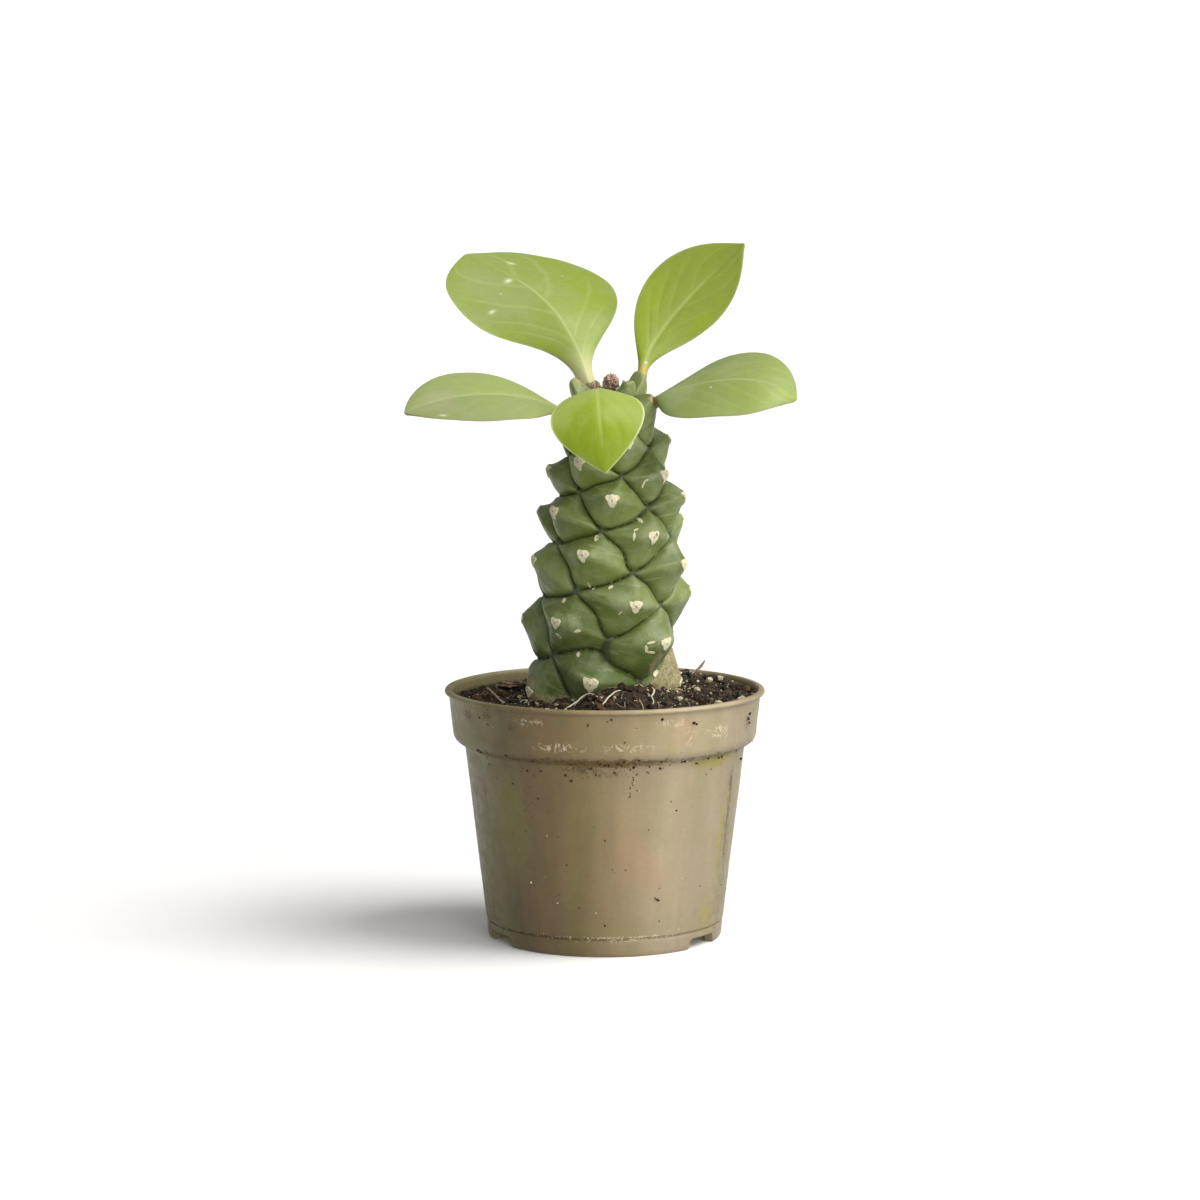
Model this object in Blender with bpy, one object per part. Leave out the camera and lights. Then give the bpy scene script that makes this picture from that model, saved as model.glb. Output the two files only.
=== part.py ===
"""Potted euphorbia: a tubercled succulent with five leaves, rooted in a round nursery pot.

Lengths are millimetres until a mesh is made, and metres from there on. +Z is up, +X is the
viewer's right, and -Y is the front. The origin is the centre of the pot's foot, on the surface
that the pot stands on.
"""
import math
import random

import bmesh
import bpy
from mathutils import Matrix, Vector, noise

MM = 0.001
GAP = 0.35                      # clearance between neighbouring pieces
SOCKET_GAP = 0.5                # clearance of the root in the soil

# Pot: a thin moulded shell, 85 mm across its lip.
POT_SEGMENTS = 54
WALL = 0.9
LIP_RADIUS = 42.5
RIM_TOP = 66.3
BAND_TOP_RADIUS = 41.4
BAND_FOOT_RADIUS = 40.3
BAND_FOOT_Z = 54.7
BODY_TOP = (37.1, 50.6)
BODY_FOOT = (31.7, 5.1)
FOOT_RADIUS = 31.2
FOOT_INNER_RADIUS = 28.8
FLOOR_UNDER = 3.2
FLOOR_TOP = 4.2
NOTCH_AZIMUTHS = (-62.5, 55.5, 175.0)
NOTCH_WIDTH = 11.8
NOTCH_HEIGHT = 2.8
DRAIN_RADIUS = 4.0
DRAIN_RING = 20.0
DRAIN_COUNT = 6
DRAIN_TURN = 13.0

# Stem: leaves were set one after another at the golden angle, so the tubercle numbered n (0 is
# the one with the scar at the front, counting down) stands at a fixed turn and height.
DIVERGENCE = 137.41
FIRST_AZIMUTH = -1.0
CELL_LEFT = (3 * -DIVERGENCE + 360.0, 3)        # step to the neighbour down and to the left
CELL_RIGHT = (5 * -DIVERGENCE + 720.0, 5)       # step to the neighbour down and to the right
APEX_NUMBER = -18.0
GROUND_NUMBER = 27.0
STEM_TURNS = 58
STEM_ROWS = 58
ROOT_END = 24.0
ROOT_ROWS = 7
ROOT_TIP_RADIUS = 2.5
GROOVE_DEPTH_YOUNG = 4.6
GROOVE_DEPTH_GROWN = 6.3
PLATEAU = 0.86                  # how far in a tubercle's slope reaches before its top is level
DROOP = 3.3                     # how far below its own number's height a tubercle's groove lies
# Where some tips stand off the even spiral: tubercle number, turn, drop in numbers.
TIP_SHIFTS = {13: (5.6, 0.32), 5: (0.0, 0.33), 16: (1.2, 0.28), 21: (-2.0, 0.29), -3: (1.0, 0.5),
              8: (-1.5, -0.25), 18: (0.0, -0.2), -5: (0.0, -0.2)}
STRETCHED_CREASE = 5.0          # azimuth of the upright crease between two low tubercles
CREASE_SPREAD = 19.0            # half width of that crease's reach, in degrees
CREASE_DROP = 2.2               # how many numbers it draws the grooves down
CREASE_NUMBERS = (16.9, 19.4, 21.3)     # numbers where it starts, is fully drawn and has ended
OUTLINE_AT_TIP = 2.4            # power of a tubercle's outline near its tip: round
OUTLINE_AT_GROOVE = 12.0        # power of its outline at the groove: square
OUTLINE_BELOW = 4.5             # power of its outline at the lower corner
FLANK_SHARE = 0.26              # share of a tubercle's height in the steep flank by the groove
FLANK_REACH = 0.06
SLOPE_SHARE = 0.72              # share of its height in the slope up to the tip
SLOPE_POWER = 1.2
TOP_WIDENING = 0.18             # how much wider the flat tops of the leafy tubercles are

SOIL_BOTTOM = 4.6
SOIL_RINGS = 9
SOIL_TURNS = 40
# Heaps of soil: x, y, extra height, spread.
SOIL_HEAPS = ((21.0, 14.0, 4.4, 8.0), (11.0, -8.0, 3.0, 8.0), (-6.0, 24.0, 1.0, 14.0),
              (3.0, -19.5, 4.6, 7.5))


def smooth(low, high, value):
    """Eased step from 0 at low to 1 at high."""
    t = min(1.0, max(0.0, (value - low) / (high - low)))
    return t * t * (3.0 - 2.0 * t)


def material(name, colour, roughness):
    """A Principled material."""
    made = bpy.data.materials.new(name)
    made.use_nodes = True
    shader = made.node_tree.nodes["Principled BSDF"]
    shader.inputs["Base Color"].default_value = (*colour, 1.0)
    shader.inputs["Roughness"].default_value = roughness
    shader.inputs["Metallic"].default_value = 0.0
    return made


def add_object(name, points, faces, finish, sharp=40.0, split=False):
    """An object from points in millimetres, its faces turned outwards and shaded smooth."""
    mesh = bpy.data.meshes.new(name)
    mesh.from_pydata([[c * MM for c in p] for p in points], [], faces)
    work = bmesh.new()
    work.from_mesh(mesh)
    bmesh.ops.recalc_face_normals(work, faces=work.faces)
    if split:
        bmesh.ops.triangulate(work, faces=work.faces)
    work.to_mesh(mesh)
    work.free()
    mesh.shade_smooth()
    mesh.set_sharp_from_angle(angle=math.radians(sharp))
    mesh.materials.append(finish)
    made = bpy.data.objects.new(name, mesh)
    bpy.context.collection.objects.link(made)
    return made


def ring_faces(rows, turns, first_pole, last_pole):
    """Faces between closed rings of points, with a fan to a pole at each end."""
    faces = []
    for row in range(rows - 1):
        for turn in range(turns):
            a = row * turns + turn
            b = row * turns + (turn + 1) % turns
            faces.append((a, b, b + turns, a + turns))
    last = (rows - 1) * turns
    for turn in range(turns):
        after = (turn + 1) % turns
        faces.append((first_pole, after, turn))
        faces.append((last_pole, last + turn, last + after))
    return faces


def lathe(name, profile, turns, finish):
    """A turned solid. The profile runs from the axis round the section and back to the axis."""
    points = []
    for radius, z in profile[1:-1]:
        for turn in range(turns):
            angle = 2.0 * math.pi * turn / turns
            points.append((radius * math.cos(angle), radius * math.sin(angle), z))
    points.append((0.0, 0.0, profile[0][1]))
    points.append((0.0, 0.0, profile[-1][1]))
    faces = ring_faces(len(profile) - 2, turns, len(points) - 2, len(points) - 1)
    return add_object(name, points, faces, finish)


def cut(target, cutter):
    """Subtract a cutter, which stays as a hidden guide."""
    cutter.hide_render = True
    cutter.display_type = "WIRE"
    boolean = target.modifiers.new("cut_" + cutter.name, "BOOLEAN")
    boolean.operation = "DIFFERENCE"
    boolean.object = cutter
    boolean.solver = "EXACT"


# ---------------------------------------------------------------- pot

def pot_profile():
    """Section of the pot, from the underside's centre round the lip to the floor's centre."""
    inner_band = BAND_TOP_RADIUS - WALL
    return [
        (0.0, FLOOR_UNDER), (FOOT_INNER_RADIUS, FLOOR_UNDER),
        (FOOT_INNER_RADIUS + 0.2, 0.0), (FOOT_RADIUS - 0.5, 0.0), (FOOT_RADIUS, 0.6),
        (FOOT_RADIUS + 0.3, 4.4), (FOOT_RADIUS - 0.1, 4.6), BODY_FOOT, BODY_TOP,
        (37.6, 51.5), (38.8, 52.3), (39.7, 53.1), (BAND_FOOT_RADIUS, BAND_FOOT_Z),
        (BAND_TOP_RADIUS, RIM_TOP - 1.5), (LIP_RADIUS - 0.3, RIM_TOP - 1.2),
        (LIP_RADIUS, RIM_TOP - 0.7), (LIP_RADIUS - 0.25, RIM_TOP - 0.15),
        (LIP_RADIUS - 0.7, RIM_TOP), (LIP_RADIUS - 1.4, RIM_TOP), (inner_band + 0.15, RIM_TOP - 0.5),
        (inner_band, RIM_TOP - 1.3), (BAND_FOOT_RADIUS - WALL, BAND_FOOT_Z),
        (38.6, 53.6), (37.2, 52.6), (BODY_TOP[0] - WALL, BODY_TOP[1]),
        (BODY_FOOT[0] - WALL, BODY_FOOT[1] + 0.1), (30.2, FLOOR_TOP + 0.1), (0.0, FLOOR_TOP),
    ]


def make_pot(finish):
    """The pot, with three notches through its foot ring and seven drain holes."""
    pot = lathe("pot", pot_profile(), POT_SEGMENTS, finish)
    for index, azimuth in enumerate(NOTCH_AZIMUTHS):
        turn = math.radians(azimuth)
        tangent = (math.cos(turn), math.sin(turn))
        outward = (math.sin(turn), -math.cos(turn))
        corners = []
        for z in (-1.0, NOTCH_HEIGHT):
            for along, out in ((-1, 26.0), (1, 26.0), (1, 34.0), (-1, 34.0)):
                side = along * NOTCH_WIDTH / 2.0
                x = tangent[0] * side + outward[0] * out
                y = tangent[1] * side + outward[1] * out
                corners.append((x, y, z))
        faces = [(0, 1, 2, 3), (4, 5, 6, 7), (0, 1, 5, 4), (1, 2, 6, 5), (2, 3, 7, 6), (3, 0, 4, 7)]
        cut(pot, add_object("notch_cutter_%d" % index, corners, faces, finish))
    places = [(0.0, 0.0)]
    for index in range(DRAIN_COUNT):
        turn = math.radians(DRAIN_TURN + 360.0 * index / DRAIN_COUNT)
        places.append((DRAIN_RING * math.cos(turn), DRAIN_RING * math.sin(turn)))
    for index, (x, y) in enumerate(places):
        profile = [(0.0, 1.0), (DRAIN_RADIUS, 1.0), (DRAIN_RADIUS, 6.0), (0.0, 6.0)]
        cutter = lathe("drain_cutter_%d" % index, profile, 14, finish)
        cutter.location = (x * MM, y * MM, 0.0)
        cutter.rotation_euler.z = math.radians(DRAIN_TURN * (index + 1))
        cut(pot, cutter)
    return pot


# ---------------------------------------------------------------- stem

def station(number):
    """Height along the stem's axis of the tubercle with this number."""
    return 122.5 - 1.668 * number - 0.0122 * number ** 2 - 0.00058 * number ** 3


def axis_point(height):
    """A point on the stem's leaning axis."""
    t = (height - 66.0) / 80.0
    x = -1.7 + 9.6 * t - 3.5 * t ** 2 - 3.4 * t ** 3
    y = 8.0 - 27.6 * t + 8.2 * t ** 2
    return Vector((x, y, height))


def axis_frame(height):
    """Sideways, backward and upward directions of the stem at a height."""
    up = (axis_point(height + 0.5) - axis_point(height - 0.5)).normalized()
    side = Vector((1.0, 0.0, 0.0))
    side = (side - up * side.dot(up)).normalized()
    return side, up.cross(side), up


def tip_radius(number):
    """Distance of a tubercle's tip from the axis."""
    return 18.5 + 0.417 * number - 0.0111 * number ** 2


def nearest_tubercle(azimuth, number):
    """Place in the nearest tubercle's cell, and that tubercle's number."""
    turn = azimuth - FIRST_AZIMUTH
    (left_turn, left_drop), (right_turn, right_drop) = CELL_LEFT, CELL_RIGHT
    area = left_turn * right_drop - right_turn * left_drop
    a = (turn * right_drop - right_turn * number) / area
    b = (left_turn * number - turn * left_drop) / area
    nearest = round(a) * left_drop + round(b) * right_drop
    return a - round(a), b - round(b), nearest


def about_tip(place, tip):
    """Place along one side of a cell, from 0 at a tip that stands off the cell's middle."""
    side = 1.0 if place > tip else -1.0
    return (place - tip) / (1.0 - 2.0 * tip * side)


def tip_place(number):
    """Turn and leaf number of a tubercle's tip."""
    turn, drop = TIP_SHIFTS.get(number, (0.0, 0.0))
    return FIRST_AZIMUTH - DIVERGENCE * number + turn, number + drop


def bent_grid(azimuth, number):
    """A place moved a little, so that the grooves wander and one of them stands upright."""
    a, b, _ = nearest_tubercle(azimuth, number)
    loose = smooth(0.25, 1.0, 2.0 * max(abs(a), abs(b)))
    turn = math.radians(azimuth)
    azimuth += loose * (2.0 * math.sin(3.0 * turn + 0.8 * number) + 1.3 * math.sin(5.0 * turn - 1.3 * number))
    wander = 0.22 * math.sin(4.0 * turn + 1.1 * number) + 0.15 * math.sin(2.0 * turn - 0.9 * number)
    number += loose * wander
    aside = ((azimuth + 180.0) % 360.0 - 180.0 - STRETCHED_CREASE) / CREASE_SPREAD
    start, full, end = CREASE_NUMBERS
    drawn = min(1.0, max(0.0, (number - start) / (full - start)))
    stretch = CREASE_DROP * drawn * (1.0 - smooth(full, end, number))
    return azimuth, number - stretch * math.exp(-aside ** 2)


def inward_share(azimuth, number):
    """Share of the way from the groove, 0, to the tip, 1, in the cell of the nearest tubercle."""
    a, b, nearest = nearest_tubercle(*bent_grid(azimuth, number))
    if nearest in TIP_SHIFTS:
        turn, drop = TIP_SHIFTS[nearest]
        (left_turn, left_drop), (right_turn, right_drop) = CELL_LEFT, CELL_RIGHT
        area = left_turn * right_drop - right_turn * left_drop
        a = about_tip(a, (turn * right_drop - right_turn * drop) / area)
        b = about_tip(b, (left_turn * drop - turn * left_drop) / area)
    a *= 2.0
    b *= 2.0
    far = smooth(0.2, 0.98, max(abs(a), abs(b)))
    power = OUTLINE_AT_TIP + (OUTLINE_AT_GROOVE - OUTLINE_AT_TIP) * far
    power += (min(power, OUTLINE_BELOW) - power) * smooth(0.3, 0.9, (a + b) / 2.0)
    return max(0.0, 1.0 - (abs(a) ** power + abs(b) ** power) ** (1.0 / power))


def tubercle(azimuth, number):
    """How far the surface stands out of its groove, from 0 to 1, at a turn and leaf number."""
    leafy = smooth(9.0, 13.0, -number) * (1.0 - smooth(14.0, 16.0, -number))
    plateau = PLATEAU - TOP_WIDENING * leafy
    level = min(1.0, inward_share(azimuth, number) / plateau)
    return FLANK_SHARE * (1.0 - math.exp(-level / FLANK_REACH)) + SLOPE_SHARE * level ** SLOPE_POWER


def stem_point(azimuth, number):
    """A point on the stem's surface."""
    height = station(number)
    core = height - 0.08 * max(0.0, -8.0 - number) ** 2
    core -= DROOP * smooth(-17.0, -9.0, number) * (1.0 - 0.45 * smooth(12.0, 20.0, number))
    young = smooth(-18.5, -14.5, number)
    rise = (height - core + 3.0 * smooth(6.0, 11.0, -number)) * young
    swell = GROOVE_DEPTH_YOUNG + (GROOVE_DEPTH_GROWN - GROOVE_DEPTH_YOUNG) * smooth(-12.0, 2.0, number)
    depth = swell * young * (1.0 - smooth(25.0, 27.0, number))
    groove = tip_radius(number) - swell
    out = tubercle(azimuth, number)
    side, back, up = axis_frame(core)
    turn = math.radians(azimuth)
    radial = side * math.sin(turn) - back * math.cos(turn)
    return axis_point(core) + radial * (groove + depth * out) + up * (rise * out)


def make_stem(finish):
    """The stem from its growing tip down to the end of the taproot, as one closed surface."""
    points = []
    for row in range(STEM_ROWS):
        number = APEX_NUMBER + (GROUND_NUMBER - APEX_NUMBER) * row / (STEM_ROWS - 1)
        for turn in range(STEM_TURNS):
            points.append(stem_point(360.0 * turn / STEM_TURNS, number))
    ground = station(GROUND_NUMBER)
    neck = tip_radius(GROUND_NUMBER) - GROOVE_DEPTH_GROWN
    for row in range(1, ROOT_ROWS + 1):
        t = row / ROOT_ROWS
        height = ground + (ROOT_END - ground) * t
        radius = neck + (ROOT_TIP_RADIUS - neck) * t ** 0.8
        side, back, _ = axis_frame(height)
        for turn in range(STEM_TURNS):
            angle = 2.0 * math.pi * turn / STEM_TURNS
            radial = side * math.sin(angle) - back * math.cos(angle)
            points.append(axis_point(height) + radial * radius)
    core = station(APEX_NUMBER) - 0.08 * (-8.0 - APEX_NUMBER) ** 2
    points.append(axis_point(core + 0.6))
    points.append(axis_point(ROOT_END - 1.5))
    faces = ring_faces(STEM_ROWS + ROOT_ROWS, STEM_TURNS, len(points) - 2, len(points) - 1)
    return add_object("stem", points, faces, finish, 60.0, split=True)


def swollen_copy(source, name, distance):
    """A copy of an object, its surface moved outwards, to cut a socket for the original."""
    mesh = source.data.copy()
    work = bmesh.new()
    work.from_mesh(mesh)
    work.normal_update()
    for vert in work.verts:
        vert.co += vert.normal * distance * MM
    work.to_mesh(mesh)
    work.free()
    made = bpy.data.objects.new(name, mesh)
    bpy.context.collection.objects.link(made)
    return made


def tubercle_tip(number):
    """The middle of a tubercle's top, where its leaf joins."""
    return stem_point(*tip_place(number))


# ---------------------------------------------------------------- leaves

LEAF_JOINT = 1.6               # clearance between a tubercle and its leaf, along the petiole
LEAF_ALONG = 18
LEAF_ACROSS = 4
# Each leaf: the tubercle that bears it, the midrib's other three control points, the way its
# upper face looks at the base and at the tip, half widths, how soon and how sharply the blade
# widens, the same for how it closes, and how far its halves fold up.
LEAVES = {
    "leaf_upper_left": (-12, ((-9.5, -2.0, 162.3), (-11.5, 10.5, 169.4), (-37.7, 24.0, 180.1)),
                        (0.17, -0.94, 0.3), (0.28, -0.44, 0.85), 18.2, 24.8, 0.43, 2.0, 0.04, 0.66, -10.5),
    "leaf_upper_right": (-14, ((10.8, 0.3, 158.0), (20.0, 8.0, 167.3), (37.0, 10.4, 183.35)),
                         (0.2, -0.86, 0.5), (-0.05, -0.8, 0.55), 11.1, 8.8, 0.4, 1.87, 0.13, 1.18, 3.8),
    "leaf_lower_left": (-10, ((-19.0, -20.5, 145.3), (-34.6, -28.6, 147.5), (-50.6, -36.0, 141.3)),
                        (0.48, -0.24, 0.84), (-0.11, -0.45, 0.89), 16.1, 10.5, 0.43, 1.32, 0.2, 0.93, 7.0),
    "leaf_lower_right": (-11, ((17.7, -18.1, 146.6), (39.5, -27.5, 153.8), (48.8, -27.0, 144.1)),
                         (-0.65, -0.1, 0.76), (0.32, -0.65, 0.69), 15.8, 12.3, 0.17, 1.1, 0.21, 0.94, -7.8),
    "leaf_front": (-13, ((-2.0, -26.8, 150.6), (-2.0, -42.8, 142.5), (0.2, -42.2, 126.7)),
                   (-0.02, 0.43, 0.9), (-0.1, -0.99, 0.07), 10.2, 11.3, 0.36, 1.85, 0.19, 1.15, -4.4),
}
PETIOLE_SHARE = 0.06
PETIOLE_RADIUS = 1.3
LEAF_THICKNESS = 1.7
LEAF_EDGE = 0.6


def blade_width(blade, widening, widening_power, closing, closing_power):
    """Width of a blade at a share of its length."""
    opened = 1.0 - math.exp(-(blade / widening) ** widening_power)
    return opened * (1.0 - math.exp(-((1.0 - blade) / closing) ** closing_power))


def bezier(points, t):
    """Point and direction of a cubic curve."""
    a, b, c, d = points
    s = 1.0 - t
    place = a * s ** 3 + b * (3 * s * s * t) + c * (3 * s * t * t) + d * t ** 3
    way = (b - a) * (3 * s * s) + (c - b) * (6 * s * t) + (d - c) * (3 * t * t)
    return place, way.normalized()


def make_leaf(name, spec, finish):
    """A thick leaf on a short petiole: rings of points round the section, closed at both ends."""
    number, route, face_base, face_tip, left, right, *outline, fold = spec
    base = tubercle_tip(number)
    controls = [base] + [Vector(p) for p in route]
    start, way = bezier(controls, 0.0)
    controls[0] = start + way * LEAF_JOINT
    fold = math.radians(fold)
    turns = 4 * LEAF_ACROSS
    widest = max(blade_width(step / 100.0, *outline) for step in range(101))
    points = []
    for row in range(LEAF_ALONG + 1):
        t = 0.99 * math.sin(math.pi / 2.0 * row / LEAF_ALONG)
        place, way = bezier(controls, t)
        normal = Vector(face_base).normalized().lerp(Vector(face_tip).normalized(), t)
        side = way.cross(normal).normalized()
        normal = side.cross(way)
        blade = max(0.0, (t - PETIOLE_SHARE) / (1.0 - PETIOLE_SHARE))
        swell = blade_width(blade, *outline) / widest
        middle = PETIOLE_RADIUS + (LEAF_THICKNESS / 2.0 - PETIOLE_RADIUS) * smooth(0.0, 0.4, t)
        middle *= 1.0 - 0.6 * smooth(0.7, 1.0, t)
        for turn in range(turns):
            angle = 2.0 * math.pi * turn / turns
            across = math.cos(angle)
            half = right if across > 0 else left
            reach = across * (PETIOLE_RADIUS * (1.0 - 0.75 * smooth(0.6, 1.0, t)) + half * swell)
            thick = math.sin(angle) * (middle + (LEAF_EDGE / 2.0 - middle) * across ** 2 * swell)
            outward = side * math.cos(fold) * reach + normal * (abs(reach) * math.sin(fold))
            points.append(place + outward + normal * thick)
    points.append(bezier(controls, 0.0)[0] - bezier(controls, 0.0)[1] * 0.2)
    points.append(bezier(controls, 1.0)[0])
    faces = ring_faces(LEAF_ALONG + 1, turns, len(points) - 2, len(points) - 1)
    return add_object(name, points, faces, finish, 70.0)


# ---------------------------------------------------------------- soil and what lies on it

def soil_height(x, y):
    """Height of the soil's surface."""
    height = 63.0 + 0.018 * x + 0.01 * y
    for heap_x, heap_y, extra, spread in SOIL_HEAPS:
        away = (x - heap_x) ** 2 + (y - heap_y) ** 2
        height += extra * math.exp(-away / (2.0 * spread ** 2))
    return height + 0.7 * noise.noise(Vector((x * 0.16, y * 0.16, 3.0)))


def make_soil(stem_cutter, finish):
    """Potting mix that fills the pot, with a socket that follows the stem and its taproot."""
    points = []
    wall = ((BODY_FOOT[0] - WALL, SOIL_BOTTOM + 0.6), (BODY_TOP[0] - WALL, BODY_TOP[1] - 0.2),
            (37.1, 52.9), (38.6, 54.0), (BAND_FOOT_RADIUS - WALL, BAND_FOOT_Z + 0.4))
    rings = [(29.6, SOIL_BOTTOM)] + [(radius - GAP, z) for radius, z in wall]
    for radius, z in rings:
        for turn in range(SOIL_TURNS):
            angle = 2.0 * math.pi * turn / SOIL_TURNS
            points.append((radius * math.cos(angle), radius * math.sin(angle), z))
    edge = BAND_TOP_RADIUS - WALL - GAP - 0.3
    for ring in range(SOIL_RINGS):
        radius = edge * (1.0 - ring / SOIL_RINGS)
        for turn in range(SOIL_TURNS):
            angle = 2.0 * math.pi * turn / SOIL_TURNS
            x = radius * math.cos(angle)
            y = radius * math.sin(angle)
            points.append((x, y, soil_height(x, y)))
    points.append((0.0, 0.0, SOIL_BOTTOM))
    points.append((0.0, 0.0, soil_height(0.0, 0.0)))
    rows = len(rings) + SOIL_RINGS
    faces = ring_faces(rows, SOIL_TURNS, len(points) - 2, len(points) - 1)
    soil = add_object("soil", points, faces, finish)
    cut(soil, stem_cutter)
    return soil


def make_lump(name, x, y, z, size, seed, finish, rounds=2):
    """A small rough lump, such as a perlite grain."""
    work = bmesh.new()
    bmesh.ops.create_icosphere(work, subdivisions=rounds, radius=1.0)
    draw = random.Random(seed)
    offset = Vector((draw.random(), draw.random(), draw.random())) * 20.0
    for vert in work.verts:
        swell = 1.0 + 0.35 * noise.noise(vert.co * 1.4 + offset)
        vert.co = Vector((vert.co.x * size[0], vert.co.y * size[1], vert.co.z * size[2])) * swell
    work.transform(Matrix.Rotation(draw.random() * math.pi, 4, "Z"))
    lowest = min(vert.co.z for vert in work.verts)
    points = [(v.co.x + x, v.co.y + y, v.co.z - lowest + z) for v in work.verts]
    faces = [[v.index for v in f.verts] for f in work.faces]
    work.free()
    return add_object(name, points, faces, finish, 60.0)


def highest_soil(x, y, reach):
    """Highest soil under a small piece that reaches this far from its middle."""
    steps = (-reach, 0.0, reach)
    return max(soil_height(x + dx, y + dy) for dx in steps for dy in steps)


def make_strand(name, route, radius, finish, tip=0.5, sides=6):
    """A thin tapering strand through the route's points."""
    points = []
    for index, place in enumerate(route):
        before = Vector(route[max(0, index - 1)])
        after = Vector(route[min(len(route) - 1, index + 1)])
        way = (after - before).normalized()
        side = way.cross(Vector((0.0, 0.0, 1.0)))
        side = side.normalized() if side.length > 0.05 else Vector((1.0, 0.0, 0.0))
        other = side.cross(way)
        size = radius * (1.0 + (tip - 1.0) * index / (len(route) - 1))
        for turn in range(sides):
            angle = 2.0 * math.pi * turn / sides
            points.append(Vector(place) + (side * math.cos(angle) + other * math.sin(angle)) * size)
    points.append(Vector(route[0]))
    points.append(Vector(route[-1]))
    faces = ring_faces(len(route), sides, len(points) - 2, len(points) - 1)
    return add_object(name, points, faces, finish, 80.0)


def over_soil(places, lift):
    """Route points a little above the soil."""
    return [(x, y, highest_soil(x, y, 0.8) + lift + extra) for x, y, extra in places]


# Perlite grains: x, y, half sizes.
PERLITE = (
    (29.6, -14.5, (1.1, 0.9, 0.75)), (36.0, -9.5, (1.4, 1.0, 0.9)), (24.5, -1.0, (0.9, 0.8, 0.7)),
    (19.6, -15.0, (0.9, 0.7, 0.6)), (31.0, 13.0, (1.0, 0.9, 0.8)), (28.0, 7.0, (0.9, 0.9, 0.8)),
    (9.0, -15.5, (1.1, 0.9, 0.8)), (-15.0, -22.0, (0.8, 0.7, 0.6)), (-22.5, 2.0, (0.8, 0.7, 0.6)),
    (-30.0, -12.0, (0.9, 0.7, 0.6)),
)
NEEDLE = ((-31.5, 8.0, 1.4), (-29.0, -1.0, 0.9), (-26.5, -10.0, 0.4), (-24.0, -19.0, 0.2),
          (-22.8, -25.0, 0.1))
TWIG = ((25.0, 21.5, 0.2), (26.0, 21.5, 1.6), (27.2, 21.3, 3.6))
ROOT_STRANDS = {
    "root_strand_front": ((12.5, -15.0, 0.6), (12.8, -18.0, 0.5), (12.2, -21.0, 0.3),
                          (12.6, -24.0, 0.2), (12.0, -27.0, 0.2)),
    "root_strand_left": ((-10.0, -22.5, 0.1), (-7.5, -21.0, 0.6), (-5.0, -20.0, 1.1),
                         (-3.0, -21.5, 0.8), (-1.6, -24.5, 0.2)),
    "root_strand_middle": ((-1.0, -29.0, 0.1), (0.5, -26.0, 0.6), (2.4, -23.0, 0.7),
                           (4.0, -21.0, 0.2)),
}


def dried_remains(finish):
    """Shrivelled bud and bracts on the growing tip."""
    middle = axis_point(145.9)
    pieces = (
        ("dried_bud", (0.4, -0.6, 0.0), (2.1, 1.8, 2.3), 5),
        ("dried_bract_left", (-3.5, -1.3, 0.5), (1.3, 1.0, 1.2), 6),
        ("dried_bract_right", (3.9, -2.6, 2.4), (1.3, 1.0, 0.9), 7),
    )
    for name, (dx, dy, dz), size, seed in pieces:
        make_lump(name, middle.x + dx, middle.y + dy, middle.z + dz, size, seed, finish)


def main():
    """Build every piece."""
    for old in list(bpy.data.objects):
        bpy.data.objects.remove(old, do_unlink=True)
    pot_finish = material("pot_plastic", (0.30, 0.25, 0.17), 0.5)
    stem_finish = material("stem_skin", (0.12, 0.20, 0.06), 0.4)
    leaf_finish = material("leaf_blade", (0.32, 0.46, 0.10), 0.45)
    soil_finish = material("soil_mix", (0.06, 0.04, 0.03), 0.95)
    perlite_finish = material("perlite_grain", (0.75, 0.70, 0.60), 0.9)
    dry_finish = material("dry_remains", (0.36, 0.25, 0.19), 0.9)
    root_finish = material("root_strand", (0.62, 0.55, 0.43), 0.8)

    make_pot(pot_finish)
    stem = make_stem(stem_finish)
    make_soil(swollen_copy(stem, "stem_cutter", SOCKET_GAP), soil_finish)
    for name, spec in LEAVES.items():
        make_leaf(name, spec, leaf_finish)
    dried_remains(dry_finish)
    for index, (x, y, size) in enumerate(PERLITE):
        z = highest_soil(x, y, 1.2) + GAP
        make_lump("perlite_%02d" % (index + 1), x, y, z, size, index, perlite_finish)
    make_strand("needle", over_soil(NEEDLE, 0.8), 0.45, root_finish)
    make_strand("twig", over_soil(TWIG, 1.0), 0.5, dry_finish)
    bark_x, bark_y = -25.0, 19.0
    make_lump("bark_chip", bark_x, bark_y, highest_soil(bark_x, bark_y, 4.0) + GAP,
              (4.4, 2.2, 0.9), 21, dry_finish)
    for name, places in ROOT_STRANDS.items():
        make_strand(name, over_soil(places, 0.75), 0.4, root_finish)


main()
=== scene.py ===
"""Looks of the potted euphorbia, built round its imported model.

Lengths are millimetres until a mesh is made, and metres from there on. +Z is up, +X is the
viewer's right, and -Y is the front. The origin is the centre of the pot's foot. Azimuths are
degrees round the upright, 0 at the front and growing to the viewer's right. The shape functions
repeat those of the CAD source, on finer grids.
"""

import math
import random

import bmesh
import bpy
import numpy as np
from mathutils import Matrix, Vector, noise


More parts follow.
